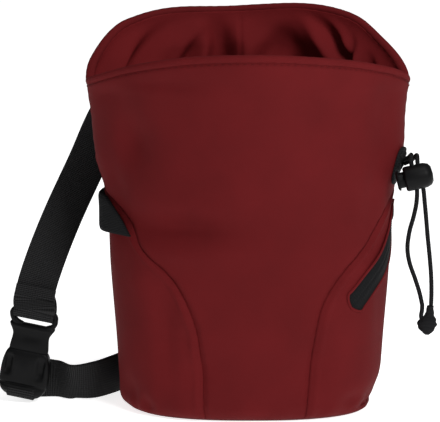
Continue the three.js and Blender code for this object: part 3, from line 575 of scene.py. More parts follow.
def woven(name, dark, light, thread, depth, roughness):
    """Plain weave on the cloth's own UV map: two crossed sets of ridges a thread apart, with a
    fine grain in the colour and a soft wandering tone."""
    material, nodes, links, shader = node_material(name, roughness, CLOTH_GLOSS)
    objects = add_node(nodes, "ShaderNodeTexCoord").outputs["Object"]
    weave = add_node(nodes, "ShaderNodeMath", operation="MULTIPLY")
    for side, direction in enumerate(("X", "Y")):
        wave = bands(nodes, links, direction, thread, CLOTH_WOBBLE)
        wave.inputs["Detail Scale"].default_value = 1.5
        links.new(wave.outputs["Fac"], weave.inputs[side])
    slub = add_node(nodes, "ShaderNodeTexNoise", Scale=SLUB_SCALE, Detail=3.0)
    links.new(objects, slub.inputs["Vector"])
    height = add_node(nodes, "ShaderNodeMath", operation="ADD")
    links.new(weave.outputs["Value"], height.inputs[0])
    links.new(slub.outputs["Fac"], height.inputs[1])
    raised(nodes, links, shader, height.outputs["Value"], depth, thread * MM * 0.5)
    tone = mottled_colour(nodes, links, dark, light, TONE_SCALE, objects)
    grain = add_node(nodes, "ShaderNodeMixRGB", blend_type="MULTIPLY", Fac=WEAVE_IN_COLOUR)
    links.new(tone, grain.inputs["Color1"])
    links.new(weave.outputs["Value"], grain.inputs["Color2"])
    links.new(grain.outputs["Color"], shader.inputs["Base Color"])
    return material


def ribbed(name, dark, light, pitch, depth, roughness, direction="X"):
    """Webbing: ridges a pitch apart on the UV map, crossed by a lower and wider set of yarns."""
    material, nodes, links, shader = node_material(name, roughness, WEBBING_GLOSS)
    ribs = bands(nodes, links, direction, pitch, RIB_WOBBLE)
    other = "Y" if direction == "X" else "X"
    yarns = bands(nodes, links, other, pitch * YARN_PITCH, YARN_WOBBLE)
    height = add_node(nodes, "ShaderNodeMath", operation="MULTIPLY_ADD")
    height.inputs[1].default_value = YARN_SHARE
    links.new(yarns.outputs["Fac"], height.inputs[0])
    links.new(ribs.outputs["Fac"], height.inputs[2])
    raised(nodes, links, shader, height.outputs["Value"], depth, pitch * MM * 0.35)
    tone = add_node(nodes, "ShaderNodeMixRGB", blend_type="MIX")
    tone.inputs["Color1"].default_value = (*dark, 1)
    tone.inputs["Color2"].default_value = (*light, 1)
    links.new(height.outputs["Value"], tone.inputs["Fac"])
    links.new(tone.outputs["Color"], shader.inputs["Base Color"])
    return material


def moulded(name, dark, light, roughness):
    """Moulded plastic: nearly flat colour, a fine grain and soft scuffs in the gloss."""
    material, nodes, links, shader = node_material(name, roughness, PLASTIC_GLOSS)
    objects = add_node(nodes, "ShaderNodeTexCoord").outputs["Object"]
    tone = mottled_colour(nodes, links, dark, light, PLASTIC_TONE_SCALE, objects)
    links.new(tone, shader.inputs["Base Color"])
    grain = add_node(nodes, "ShaderNodeTexNoise", Scale=GRAIN_SCALE, Detail=2.0)
    links.new(objects, grain.inputs["Vector"])
    raised(nodes, links, shader, grain.outputs["Fac"], 0.18, 0.1 * MM)
    scuffs = add_node(nodes, "ShaderNodeMapRange")
    scuffs.inputs["To Min"].default_value = roughness - 0.08
    scuffs.inputs["To Max"].default_value = roughness + 0.12
    wear = add_node(nodes, "ShaderNodeTexNoise", Scale=SCUFF_SCALE, Detail=5.0)
    links.new(objects, wear.inputs["Vector"])
    links.new(wear.outputs["Fac"], scuffs.inputs["Value"])
    links.new(scuffs.outputs["Result"], shader.inputs["Roughness"])
    return material


# Darkest and lightest tones of the finishes
RED_DARK, RED_LIGHT = (0.119, 0.0080, 0.0094), (0.141, 0.0095, 0.0112)
# The collar's red is the shell's made lighter: painted light that makes up for the shade inside the mouth
LIT_COLLAR_DARK, LIT_COLLAR_LIGHT = (0.144, 0.0096, 0.0113), (0.166, 0.0111, 0.0130)
THREAD_DARK, THREAD_LIGHT = (0.085, 0.006, 0.007), (0.115, 0.008, 0.009)
BLACK_DARK = (0.0035, 0.0035, 0.0038)
SHELL_CLOTH = woven("shell_cloth", RED_DARK, RED_LIGHT, 0.45, 0.35, 0.78)
# Painted light: the collar's cloth is lighter than the shell's, to offset the shade inside the mouth
LIT_COLLAR_CLOTH = woven("collar_cloth_painted_light", LIT_COLLAR_DARK, LIT_COLLAR_LIGHT, 0.40, 0.3, 0.8)
THREAD = woven("thread", THREAD_DARK, THREAD_LIGHT, 0.3, 0.4, 0.7)
WEBBING = ribbed("webbing", BLACK_DARK, (0.0220, 0.0220, 0.0225), 0.9, 0.9, 0.62)
ELASTIC = ribbed("elastic_band", BLACK_DARK, (0.014, 0.014, 0.015), 0.8, 0.8, 0.7, "Y")
ZIP_CLOTH = ribbed("zip_cloth", BLACK_DARK, (0.012, 0.012, 0.013), 0.5, 0.6, 0.7)
PLASTIC = moulded("black_plastic", (0.0015, 0.0015, 0.0017), (0.0030, 0.0030, 0.0033), 0.46)
CORD_COVER = ribbed("cord_cover", (0.004, 0.004, 0.0045), (0.015, 0.015, 0.016), 0.7, 0.9, 0.7)


def dress(obj, material, body, slot_name, *nodes):
    """Gives a piece its material and body, and the nodes that it stands for; its slot name is not used."""
    obj.data.materials.clear()
    obj.data.materials.append(material)
    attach(obj, body)
    if nodes:
        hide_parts(*nodes)
    return obj


# Camera, floor and lights

CAMERA_ELEVATION = math.radians(10.8)
CAMERA_DISTANCE = 1.5
CAMERA_TARGET = Vector((-0.0150, 0.0, 0.09825))
PIXELS_PER_METRE = 2000.0
PHOTO_WIDTH = 440
SENSOR_WIDTH = 36.0
FLOOR_REACH = 9.0
FLOOR_TONE, FLOOR_GLOW = (0.95, 0.95, 0.95, 1), 0.78
WORLD_GLOW = 0.20

# Place, target, size of a side in metres and power of each lamp
LAMPS = {
    "key": ((0.82, -1.15, 1.10), (0, 0, 0.1), 0.6, 16.2),
    "top": ((0.25, -0.35, 1.6), (0, 0.03, 0.15), 0.5, 7),
}


def make_camera():
    """The camera at the photograph's viewing angle, on a line up and back from its target."""
    data = bpy.data.cameras.new("camera")
    data.sensor_width = SENSOR_WIDTH
    data.sensor_fit = "HORIZONTAL"
    data.lens = PIXELS_PER_METRE * CAMERA_DISTANCE * SENSOR_WIDTH / PHOTO_WIDTH
    data.clip_end = 20
    camera = bpy.data.objects.new("camera", data)
    back = Vector((0, -math.cos(CAMERA_ELEVATION), math.sin(CAMERA_ELEVATION)))
    camera.location = CAMERA_TARGET + back * CAMERA_DISTANCE
    camera.rotation_euler = (-back).to_track_quat("-Z", "Y").to_euler()
    bpy.context.scene.collection.objects.link(camera)
    bpy.context.scene.camera = camera


def make_stage():
    """A wide pale floor."""
    corners = np.array([[-1, -1, 0], [1, -1, 0], [1, 1, 0], [-1, 1, 0]])
    stage = mesh_object("floor", corners * FLOOR_REACH / MM, [[0, 1, 2, 3]])
    material, _, _, shader = node_material("pale_floor", 0.9, FLOOR_GLOSS)
    shader.inputs["Base Color"].default_value = FLOOR_TONE
    shader.inputs["Emission Color"].default_value = (1, 1, 1, 1)
    shader.inputs["Emission Strength"].default_value = FLOOR_GLOW
    stage.data.materials.append(material)


def area_light(name, place, target, size, power):
    """A square lamp at a place, turned towards a target."""
    data = bpy.data.lights.new(name, "AREA")
    data.shape = "SQUARE"
    data.size = size
    data.energy = power
    light = bpy.data.objects.new(name, data)
    light.location = place
    light.rotation_euler = (Vector(target) - Vector(place)).to_track_quat("-Z", "Y").to_euler()
    bpy.context.scene.collection.objects.link(light)


def make_lights():
    """A white world and the lamps of the table."""
    world = bpy.data.worlds.new("studio")
    world.use_nodes = True
    background = world.node_tree.nodes["Background"]
    background.inputs["Color"].default_value = (1, 1, 1, 1)
    background.inputs["Strength"].default_value = WORLD_GLOW
    bpy.context.scene.world = world
    for name, (place, target, size, power) in LAMPS.items():
        area_light(name, place, target, size, power)
    bpy.context.scene.view_settings.view_transform = "Standard"


# Cords

CORD_STEPS, CORD_SIDES = 150, 14

# Length in mm of one turn of the braid, and height of its ripples as a share of the cord's radius
BRAID_PITCH, BRAID_DEPTH = 2.6, 0.035

# Height over the knot's place, half width, half depth and shift to the right of the knot's outline
KNOT_OUTLINE = np.array([
    [7.5, 1.65, 1.65, 1.6],
    [5.0, 1.9, 1.8, 1.5],
    [2.4, 2.5, 2.1, 1.2],
    [0.4, 4.2, 2.9, 0.4],
    [-1.8, 5.1, 3.4, 0.0],
    [-4.2, 4.1, 3.0, 0.1],
    [-6.2, 2.5, 2.2, 0.2],
    [-7.3, 1.1, 1.0, 0.2],
])

# The near strand's last bend on its way into the knot
KNOT_BEND = np.array([[85.3, -19, 51.6], [84.9, -19, 48.8], [85.6, -19, 46.4], [87.2, -19, 44.8]])
KNOT_ROWS, KNOT_SIDES, TAIL_STEPS = 60, 32, 30
WRAP_DEPTH, WRAP_TURNS, WRAP_SLANT = 0.055, 3, 1.9


def make_cord(name, route, node):
    """A strand of braided cord: its route as one smooth curve, with a round section that two
    crossed spirals of ripples make lumpy."""
    places, along = spline(route, CORD_STEPS)
    across = square_to(np.tile([0.0, 1.0, 0.0], (CORD_STEPS, 1)), along)
    angle = np.arange(CORD_SIDES) / CORD_SIDES * TAU
    twist = run_along(places)[:, None] * TAU / BRAID_PITCH
    braid = 1 + BRAID_DEPTH * np.cos(2 * angle[None] + twist) * np.cos(2 * angle[None] - twist)
    section = circle(CORD_SIDES) * (CORD_DIAMETER / 2 * braid)[..., None]
    cord = tube(name, places, across, np.cross(along, across), section)
    dress(cord, CORD_COVER, "bag", "cord_cover", node)
    return cord, places


def make_knot():
    """The knot: the near strand's last bend and a wound lump round both ends. The lump's outline
    is its table, softened by a running mean, and a slow spiral gives the wraps of the cord."""
    order = np.linspace(0, len(KNOT_OUTLINE) - 1, KNOT_ROWS)
    table_rows = np.arange(len(KNOT_OUTLINE))
    shaped = np.stack([np.interp(order, table_rows, values) for values in KNOT_OUTLINE.T], -1)
    mean = np.array([1, 2, 3, 2, 1]) / 9
    widened = np.pad(shaped, ((2, 2), (0, 0)), mode="edge")
    shaped = np.stack([np.convolve(values, mean, "valid") for values in widened.T], -1)
    angle = np.arange(KNOT_SIDES) / KNOT_SIDES * TAU
    wraps = 1 + WRAP_DEPTH * np.sin(WRAP_TURNS * angle[None] + shaped[:, :1] * WRAP_SLANT)
    centres = KNOT_PLACE + np.column_stack([shaped[:, 3], np.zeros(KNOT_ROWS), shaped[:, 0]])
    section = circle(KNOT_SIDES)[None] * shaped[:, None, 1:3] * wraps[..., None]
    across = np.tile([1.0, 0, 0], (KNOT_ROWS, 1))
    out = np.tile([0, 1.0, 0], (KNOT_ROWS, 1))
    lump = tube("knot", centres, across, out, section)
    dress(lump, CORD_COVER, "bag", "cord_cover", "cord_knot")
    places, along = spline(np.concatenate([NEAR_STRAND[-1:], KNOT_BEND]), TAIL_STEPS)
    side = np.tile([0.0, 1.0, 0.0], (TAIL_STEPS, 1))
    tail = tube("knot_tail", places, side, np.cross(along, side), circle(KNOT_SIDES) * CORD_DIAMETER / 2)
    dress(tail, CORD_COVER, "bag", "cord_cover")
    return lump, tail


# Shell panels

def panel_heights(count, to_rim):
    """Rows of a panel: outer height and inset, inner height and inset, and the share of the way to
    the rim. First the rounding at the base, then the wall, then the stretch up to the rim."""
    angle = np.linspace(BASE_EDGE_ANGLE, math.pi / 2, ROUNDING_ROWS)[:-1]
    thin = BASE_ROUNDING - SHELL_WALL
    down, aside = np.cos(angle), np.sin(angle)
    foot = [BASE_ROUNDING * (1 - down), BASE_ROUNDING * (1 - aside),
            BASE_ROUNDING - thin * down, BASE_ROUNDING - thin * aside, 0 * angle]
    walls = np.linspace(BASE_ROUNDING, BACK_SEAM_HEIGHT - (0 if to_rim else SIDE_SHORTER), count)
    none = np.zeros(count)
    upright = [walls, none, walls, none + SHELL_WALL, none]
    rows = np.concatenate([np.stack(foot, -1), np.stack(upright, -1)])
    if to_rim:
        share = np.linspace(0, 1, count // 2)[1:]
        top = np.tile([BACK_SEAM_HEIGHT, 0, BACK_SEAM_HEIGHT, SHELL_WALL, 0], (len(share), 1))
        top[:, 4] = share
        rows = np.concatenate([rows, top])
    return rows


def make_panel(name, start_turn, end_turn, rows, columns, to_rim, seam_depth, ridge, puff):
    """A panel between two seams: points on the shell, sunk by its slack and swollen by its puff.
    Along both seams it dips by a bell of seam_depth, rises beside it in a ridge, and is puckered
    by a short ripple that runs along the seam. A crease runs under the rim."""
    table = panel_heights(rows, to_rim)
    low, low_inset, inner_low, inner_inset, to_top = (table[:, k:k + 1] for k in range(5))
    height = np.maximum(table[:, 0], BASE_ROUNDING)
    start, end = start_turn(height), end_turn(height)
    gap = SEAM_CRACK / 2 / np.linalg.norm(shell_point(start, height)[:, :2], axis=1)
    share = np.linspace(0, 1, columns)
    turn = (start + gap)[:, None] + (end - start - 2 * gap)[:, None] * share[None]
    run = run_along(shell_point(turn, height[:, None]), 1)
    top = rim_height(turn) - LIP_HEIGHT - SEAM_GAP
    outer_height = low + (top - low) * to_top
    inner_height = inner_low + (top - inner_low) * to_top
    below = top - outer_height
    edge = np.minimum(run, run[:, -1:] - run)
    seam = seam_depth * bell(edge, SEAM_HALF_WIDTH) - ridge * bell(edge - RIDGE_PLACE, RIDGE_HALF_WIDTH)
    seam = seam - puff * (1 - np.exp(-edge / PUFF_REACH))
    ripple = np.sin(outer_height * TAU / PUCKER_LENGTH + 2 * np.sin(outer_height / 9))
    pucker = PUCKER_DEPTH * ripple * np.exp(-edge / PUCKER_REACH)
    shaped = (slack(turn, outer_height) + seam) * smooth(outer_height / FADE_AT_FOOT) + pucker
    sunk = shaped * smooth(below / FADE_AT_RIM)
    sunk = sunk + end_rounding(turn) * bell(below, END_HEIGHT) + RIM_CREASE * bell(below, CREASE_HEIGHT)
    outer = shell_point(turn, outer_height, low_inset + sunk)
    inner = shell_point(turn, inner_height, inner_inset + sunk)
    uv = np.stack([run - run[:, -1:] / 2, outer_height], -1)
    panel = wall(name, outer, inner, uv=uv)
    return dress(panel, SHELL_CLOTH, "bag", "shell_fabric", name)


def make_shell():
    """The four panels of the shell, each from one seam to the next."""
    def front_end(height):
        return TAU + right_front(height)

    sides = {"seam_depth": 0.5, "ridge": 0.55, "puff": 0.7}
    make_panel("front_panel", left_front, front_end, 130, 210, True, seam_depth=1.0, ridge=0.0, puff=0.0)
    make_panel("back_panel", right_back, left_back, 130, 200, True, seam_depth=0.7, ridge=0.1, puff=0.0)
    make_panel("right_side_panel", right_front, right_back, 150, 120, False, **sides)
    make_panel("left_side_panel", left_back, left_front, 150, 120, False, **sides)


BASE_STEPS = 120

# Share of the oval and height of the base's rings, from the middle of its underside round its edge
# to the middle of its upper side
BASE_RINGS = np.array([
    [0.02, 0.0], [0.3, 0.0], [0.6, 0.0], [0.91, 0.0], [0.92, 0.18], [0.93, 0.0], [0.975, 0.0],
    [0.995, 0.25], [1.0, 0.9], [1.012, 2.3], [1.013, 3.0], [0.975, 2.9], [0.955, 2.2],
    [0.92, 2.0], [0.91, 2.0], [0.6, 2.0], [0.3, 2.0], [0.02, 2.0],
])


def make_base():
    """The base: an oval cushion edge round a flat disc, with a groove of stitches below and a
    raised seam allowance inside. Each of its rings is a share of the edge's oval and a height."""
    edge = BASE_ROUNDING - (BASE_ROUNDING - SHELL_WALL) * math.sin(BASE_EDGE_ANGLE) + SEAM_GAP / 2
    turn = np.arange(BASE_STEPS) / BASE_STEPS * TAU
    points = shell_point(turn, 0.0, edge, 0.0)[None] * BASE_RINGS[:, :1, None]
    points[..., 2] = BASE_RINGS[:, 1:]
    flat = points.reshape(-1, 3)
    base = mesh_object("base", flat, tube_faces(flat, BASE_STEPS, len(BASE_RINGS)), flat[:, :2])
    dress(base, SHELL_CLOTH, "bag", "shell_fabric", "base_panel")


# Rim and collar

# The collar's rows, how far it is tucked into the rim, and its belly: depth in mm near the rim,
# share of the way down at which it is reached, and further depth below
COLLAR_ROWS, COLLAR_TUCK = 90, 0.4
BELLY_AT_RIM, BELLY_REACH, BELLY_BELOW = 5.2, 0.24, 2.6

# Its folds: the share of the way down at their middle turn, over which they deepen, and their
# widening, then the ridges beside them, and how sharply the collar is kept off the wall
FOLD_MIDDLE, FOLD_RAMP = 0.45, 0.22
FOLD_NARROW, FOLD_WIDENS = 0.75, 0.9
FOLD_RIDGE, FOLD_RIDGE_AWAY = 0.3, 2.1
KEPT_OFF = 1.6

# Where the mouth's way round is measured; nothing uses the measure
MOUTH_HEIGHT, MOUTH_INSET = 168.0, 3.0

# The seam behind, the gathers, and the channel's hem
COLLAR_SEAM, SEAM_VALLEY, SEAM_WIDTH, SEAM_START = math.radians(92.5), 0.9, 0.012, 0.08
GATHERS, GATHER_DEPTH, GATHER_START = 60, 0.25, 0.72
HEM_STEP, HEM_START, HEM_RAMP = 0.5, 0.7, 0.2
CHANNEL_BULGE = 2.2


def collar_hang(turn, share):
    """How far the collar hangs in from the wall, in mm: it bellies towards the channel, and the
    folds of the table draw it back to the wall in valleys that slant as they go down, each with a
    low ridge at both sides. The logarithm of one plus an exponential keeps it above zero."""
    hang = BELLY_AT_RIM * smooth(share / BELLY_REACH) + BELLY_BELOW * smooth(share)
    for top, middle, width, depth, begin in COLLAR_FOLDS:
        gap = turn_gap(turn, np.radians(top + (middle - top) * share / FOLD_MIDDLE))
        wide = np.radians(width) * (FOLD_NARROW + FOLD_WIDENS * share)
        deep = depth * smooth((share - begin) / FOLD_RAMP)
        ridges = FOLD_RIDGE * bell(np.abs(gap) - FOLD_RIDGE_AWAY * wide, wide)
        hang = hang - deep * bell(gap, wide) + deep * ridges
    seam = turn_gap(turn, COLLAR_SEAM)
    hang = hang - SEAM_VALLEY * smooth(share / SEAM_START) * bell(seam, SEAM_WIDTH)
    return np.log1p(np.exp(KEPT_OFF * hang)) / KEPT_OFF


def make_collar():
    """The collar: a gathered sleeve from the rim down to the drawcord's channel, which is a fat
    rounded hem. The sleeve keeps clear of the shell's dents."""
    turn = np.arange(RIM_STEPS) / RIM_STEPS * TAU
    share = np.linspace(0, 1, COLLAR_ROWS)[:, None]
    top = rim_height(turn) - LIP_HEIGHT + COLLAR_TUCK
    low = CHANNEL_HEIGHT - CHANNEL_SIZE / 2
    height = top + (low - top) * share
    channel = np.sqrt(np.maximum(0, 1 - ((height - CHANNEL_HEIGHT) / (CHANNEL_SIZE / 2)) ** 2))
    gathers = GATHER_DEPTH * np.sin(GATHERS * turn[None]) * smooth((share - GATHER_START) / HEM_RAMP)
    pushed = np.maximum(slack(turn[None], height), 0) * smooth((top - height) / FADE_AT_RIM)
    inset = SHELL_WALL + COLLAR_GAP + collar_hang(turn[None], share) + pushed + gathers
    inset = inset + HEM_STEP * smooth((share - HEM_START) / HEM_RAMP)
    outer = shell_point(turn[None], height, inset)
    inner = shell_point(turn[None], height, inset + COLLAR_WALL + CHANNEL_BULGE * channel)
    uv = np.stack([np.broadcast_to(turn * CLOTH_RADIUS, height.shape), height], -1)
    collar = wall("collar", outer, inner, True, uv)
    # Its cloth is the shell's red painted lighter, to stand in for light inside the mouth
    dress(collar, LIT_COLLAR_CLOTH, "bag", "collar_fabric", "inner_collar")
    around = run_along(shell_point(turn, MOUTH_HEIGHT, MOUTH_INSET))[-1]


RIM_REACH = SHELL_WALL + COLLAR_GAP + COLLAR_WALL

# Number and depth in mm of the rim's fine and slow ripples
FINE_RIPPLES, FINE_DEPTH = 95, 0.05
SLOW_RIPPLES, SLOW_DEPTH = 13, 0.06

# Inset in mm and height as a share of the lip, round the section of the rolled rim
RIM_PROFILE = np.array([
    [0.35, -0.30], [-0.15, -0.10], [-0.42, 0.18], [-0.45, 0.45], [-0.20, 0.72], [0.18 * RIM_REACH, 0.93],
    [0.45 * RIM_REACH, 1.0], [0.75 * RIM_REACH, 0.94], [0.98 * RIM_REACH, 0.74], [RIM_REACH + 0.45, 0.42],
    [RIM_REACH + 0.45, 0.1], [RIM_REACH + 0.1, -0.15], [0.75 * RIM_REACH, -0.1], [0.3 * RIM_REACH, -0.1],
])


def make_rim():
    """The rolled rim: the profile of its table carried round the mouth as a closed ring, with fine
    and slow ripples, drawn in at the two ends."""
    turn = np.arange(RIM_STEPS) / RIM_STEPS * TAU
    ripple = FINE_DEPTH * np.sin(turn * FINE_RIPPLES) + SLOW_DEPTH * np.sin(turn * SLOW_RIPPLES + 1)
    inset = RIM_PROFILE[None, :, 0] + (ripple + 2 * end_rounding(turn))[:, None]
    low = rim_height(turn) - LIP_HEIGHT
    height = low[:, None] + RIM_PROFILE[None, :, 1] * LIP_HEIGHT + ripple[:, None]
    flat = shell_point(turn[:, None], height, inset).reshape(-1, 3)
    faces = grid_faces(RIM_STEPS + 1, len(RIM_PROFILE), True) % len(flat)
    ring = run_along(RIM_PROFILE * [1, LIP_HEIGHT])
    uv = np.stack(np.broadcast_arrays(turn[:, None] * CLOTH_RADIUS, ring[None]), -1).reshape(-1, 2)
    rim = mesh_object("rim_roll", flat, outward(flat, faces).tolist(), uv)
    dress(rim, SHELL_CLOTH, "bag", "shell_fabric", "rim_binding")


STITCH_RINGS, STITCH_SIDES = 5, 5
STITCH_BOW, STITCH_SINK = 0.10, 0.02

# The stitches below the rim: number, how far below, length and thickness in mm
RIM_STITCHES, STITCHES_BELOW = 150, 1.6
STITCH_LENGTH, STITCH_THICKNESS = 1.6, 0.14


def make_stitches(name, places, along, normal, length, thickness, material, slot_name):
    """A row of short stitches: each is a small capsule, bowed outwards and sunk at its ends."""
    t = np.linspace(-1, 1, STITCH_RINGS)
    ring = circle(STITCH_SIDES)
    side = unit(np.cross(along, normal))
    thick = thickness * np.sqrt(np.maximum(0.12, 1 - t ** 4))
    lift = (1 - t ** 2) * STITCH_BOW - STITCH_SINK
    spine = places[:, None] + along[:, None] * (t * length / 2)[:, None] + normal[:, None] * lift[:, None]
    around = side[:, None, None] * ring[:, :1] + normal[:, None, None] * ring[:, 1:]
    flat = (spine[:, :, None] + around * thick[:, None, None]).reshape(-1, 3)
    starts = np.arange(len(places)) * STITCH_RINGS * STITCH_SIDES
    quads = grid_faces(STITCH_RINGS, STITCH_SIDES, True)[None] + starts[:, None, None]
    faces = outward(flat, quads.reshape(-1, 4)).tolist()
    turned = faces[0][:2] == [0, 1]
    for start in starts.tolist():
        faces += end_caps(STITCH_SIDES, STITCH_RINGS, turned, start)
    obj = mesh_object(name, flat, faces, np.zeros((len(flat), 2)))
    return dress(obj, material, "bag", slot_name)


def surface_normal(turn, height):
    """The shell's outward direction: square to a small step of turn and a small step up."""
    side = shell_point(turn + 0.01, height) - shell_point(turn - 0.01, height)
    rise = shell_point(turn, height + 1) - shell_point(turn, height - 1)
    return unit(np.cross(side, rise))


def make_rim_stitches():
    """A line of stitches just below the rim's crease, one every 2.6 mm."""
    turn = np.arange(RIM_STITCHES) / RIM_STITCHES * TAU
    height = rim_height(turn) - LIP_HEIGHT - STITCHES_BELOW
    place = shell_point(turn, height, end_rounding(turn))
    along = unit(np.roll(place, -1, axis=0) - np.roll(place, 1, axis=0))
    normal = surface_normal(turn, height)
    make_stitches("rim_stitches", place, along, normal, STITCH_LENGTH, STITCH_THICKNESS, THREAD,
                  "shell_fabric")


# Zip

ZIP_STEPS, WELT_STEPS, SLIDER_STEPS = 260, 220, 21
COIL_TURNS, COIL_DEPTH = 46, 0.12

# The tape's end and the end of its point as shares of the zip, and its height over the shell
TAPE_END, ZIP_POINT, TAPE_LIFT = 0.985, 0.035, 0.35

# The welt's gap to the tape, its height over the shell, how far its tip is past the tape, and the
# half width and half height of its section
WELT_GAP, WELT_LIFT, WELT_TIP = 0.15, 0.6, 0.6
WELT_SECTION = [0.75, 0.6]

# The slider's place as a share of the zip, and its sizes in mm
SLIDER_PLACE, SLIDER_HALF_LENGTH, SLIDER_LIFT = 0.93, 4.2, 1.2
SLIDER_HALF_WIDTH, SLIDER_HALF_HEIGHT, SLIDER_NARROWS, SLIDER_TIP = 3.0, 0.7, 0.35, 0.2

# Place across the zip, height, and share of the coil's ripple, round the section of the tape
ZIP_SECTION = np.array([
    [-ZIP_WIDTH / 2, 0.0, 0], [ZIP_WIDTH / 2, 0.0, 0], [ZIP_WIDTH / 2, 0.45, 0],
    [2.6, 0.50, 0.3], [2.2, 0.7, 1], [1.5, 0.80, 1], [0.35, 0.7, 0.6], [0.0, 0.42, 0.2],
    [-0.35, 0.7, -0.6], [-1.5, 0.80, -1], [-2.2, 0.7, -1], [-2.6, 0.50, -0.3], [-ZIP_WIDTH / 2, 0.45, 0],
])


def zip_frames(share):
    """Places, directions along and across, and outward normals of the zip's line on the shell."""
    def place(at):
        return shell_point(np.radians(ZIP_TURN(at)), ZIP_HEIGHT(at) * FRONT_SEAM_HEIGHT)

    along = unit(place(share + 0.01) - place(share - 0.01))
    normal = surface_normal(np.radians(ZIP_TURN(share)), ZIP_HEIGHT(share) * FRONT_SEAM_HEIGHT)
    return place(share), along, unit(np.cross(normal, along)), normal


def zip_taper(share):
    """The zip's width as a share of its full one: it comes to a point at the bottom."""
    return np.minimum(1, 0.1 + 0.9 * share / ZIP_POINT)[:, None]


def make_zip():
    """The zip's tape: a flat strip, with two rows of coil turns that mesh along its middle."""
    share = np.linspace(0.0, TAPE_END, ZIP_STEPS)
    centre, _, across, normal = zip_frames(share)
    places, heights, wave = ZIP_SECTION.T
    ridge = COIL_DEPTH * np.sin(np.linspace(0, 1, ZIP_STEPS) * TAU * COIL_TURNS)
    section = np.stack([places[None] * zip_taper(share), heights[None] + ridge[:, None] * wave[None]], -1)
    tape = tube("zip", centre + normal * TAPE_LIFT, across, normal, section)
    dress(tape, ZIP_CLOTH, "bag", "zip_fabric", "zip_tape")


def make_welt():
    """The red welt that frames the zip: a round section along its left edge, its tip and its right
    edge."""
    share = np.linspace(0.0, 1.0, 80)
    centre, along, across, normal = zip_frames(share)
    aside = across * (ZIP_WIDTH / 2 + WELT_GAP) * zip_taper(share)
    tip = centre[0] - along[0] * WELT_TIP
    line = np.concatenate([(centre - aside)[::-1], [tip], centre + aside])
    lifted = np.concatenate([normal[::-1], [normal[0]], normal])
    places, directions = spline(line[::4], WELT_STEPS)
    order, whole = np.linspace(0, 1, WELT_STEPS), np.linspace(0, 1, len(line))
    out = unit(np.stack([np.interp(order, whole, values) for values in lifted.T], -1))
    side = unit(np.cross(directions, out))
    welt = tube("zip_welt", places + out * WELT_LIFT, side, out, circle(10) * WELT_SECTION)
    dress(welt, SHELL_CLOTH, "bag", "shell_fabric")


def make_slider():
    """The zip's plain slider: a rounded oblong that narrows upwards and is rounded at both ends."""
    centre, along, across, normal = zip_frames(np.array([SLIDER_PLACE]))
    slide = np.linspace(-1, 1, SLIDER_STEPS)
    narrowing = 1 - SLIDER_NARROWS * smooth((slide + 0.2) / 1.2)
    wide = SLIDER_HALF_WIDTH * narrowing * np.maximum(0.0, 1 - slide ** 8) ** 0.5 + SLIDER_TIP
    tall = SLIDER_HALF_HEIGHT * np.maximum(0.05, 1 - slide ** 6) ** 0.5
    section = oblong(20, 0.6)[None] * np.stack([wide, tall], -1)[:, None]
    places = centre + along * slide[:, None] * SLIDER_HALF_LENGTH + normal * SLIDER_LIFT
    across, normal = (np.repeat(v, SLIDER_STEPS, 0) for v in (across, normal))
    dress(tube("zip_pull", places, across, normal, section), PLASTIC, "bag", "black_plastic", "zip_slider")


# Brush loop

BAND_ROWS, BAND_COLUMNS = 26, 70
BAND_TOP = FRONT_SEAM_HEIGHT - 1.5
BAND_THICKNESS, BAND_SEATING = 1.6, 0.6

# Where the band ends behind, as a share of the half width, how far it twists and waves in mm, and
# how much thinner its hems are over what share of its height
BAND_BEHIND = 0.8
BAND_TWIST, BAND_WAVE = 0.35, 0.25
BAND_HEM, BAND_HEM_WIDTH = 0.35, 0.1


def make_brush_loop():
    """The elastic band round the left side: it stands off the shell by a sine between its two sewn
    ends, twists a little, and is thinner at its hems."""
    height = np.linspace(BAND_TOP - LOOP_HEIGHT, BAND_TOP, BAND_ROWS)[:, None]
    up = np.linspace(-1, 1, BAND_ROWS)[:, None]
    share = np.linspace(0, 1, BAND_COLUMNS)
    seam = left_front(height) - math.pi
    turn = math.pi + seam - 0.006 + (-turn_of(BAND_BEHIND, height) - seam) * share
    stand = BAND_SEATING + LOOP_STANDOFF * np.sin(np.pi * share) ** 0.8
    stand = stand + BAND_TWIST * np.sin(share * 9 + 1) * up * (share * (1 - share) * 4)
    hem = BAND_HEM * bell(np.abs(up) - 1, BAND_HEM_WIDTH)
    level = height + BAND_WAVE * np.sin(share * 14)
    outer = shell_point(turn, level, -(stand + BAND_THICKNESS - hem), height)
    inner = shell_point(turn, level, -stand, height)
    run = run_along(outer, 1)
    band = wall("brush_band", outer, inner, uv=np.stack([run, np.broadcast_to(height, run.shape)], -1))
    dress(band, ELASTIC, "bag", "elastic_band", "brush_loop")


# Belt

BELT_STEPS, FOLD_STEPS, LOOP_STEPS = 900, 120, 140

# Height in mm of the belt's bow across its width, and the angle that its wave runs through
BELT_BOW, BELT_WAVE = 0.25, 31

# How far from the belt's end its hem lies in front of it and behind it, and how far off
HEM_IN_FRONT, HEM_BEHIND, HEM_OFF = (9.4, 8.0, 5.0, 2.4), (2.4, 6.0), 1.75

# The hem's way round the buckle's upper bar and the fold's way round the lower bar, in y and z of
# the buckle's own frame
HEM_TURN = np.array([
    [22.4, 3.1], [20.6, 3.5], [18.6, 3.3], [17.5, 1.9], [17.2, 0], [17.5, -1.9], [18.6, -3.2],
    [20.6, -3.4], [22.6, -2.8],
])
FOLD_TURN = np.array([
    [-15.5, -5.3], [-17.5, -4.9], [-18.6, -2.5], [-18.8, 0.0], [-18.8, 2.5], [-19.6, 4.0], [-21.4, 4.6],
    [-23.0, 3.8], [-23.8, 1.8], [-23.8, -1.0], [-23.0, -4.0], [-21.0, -5.4], [-17.0, -6.6],
])


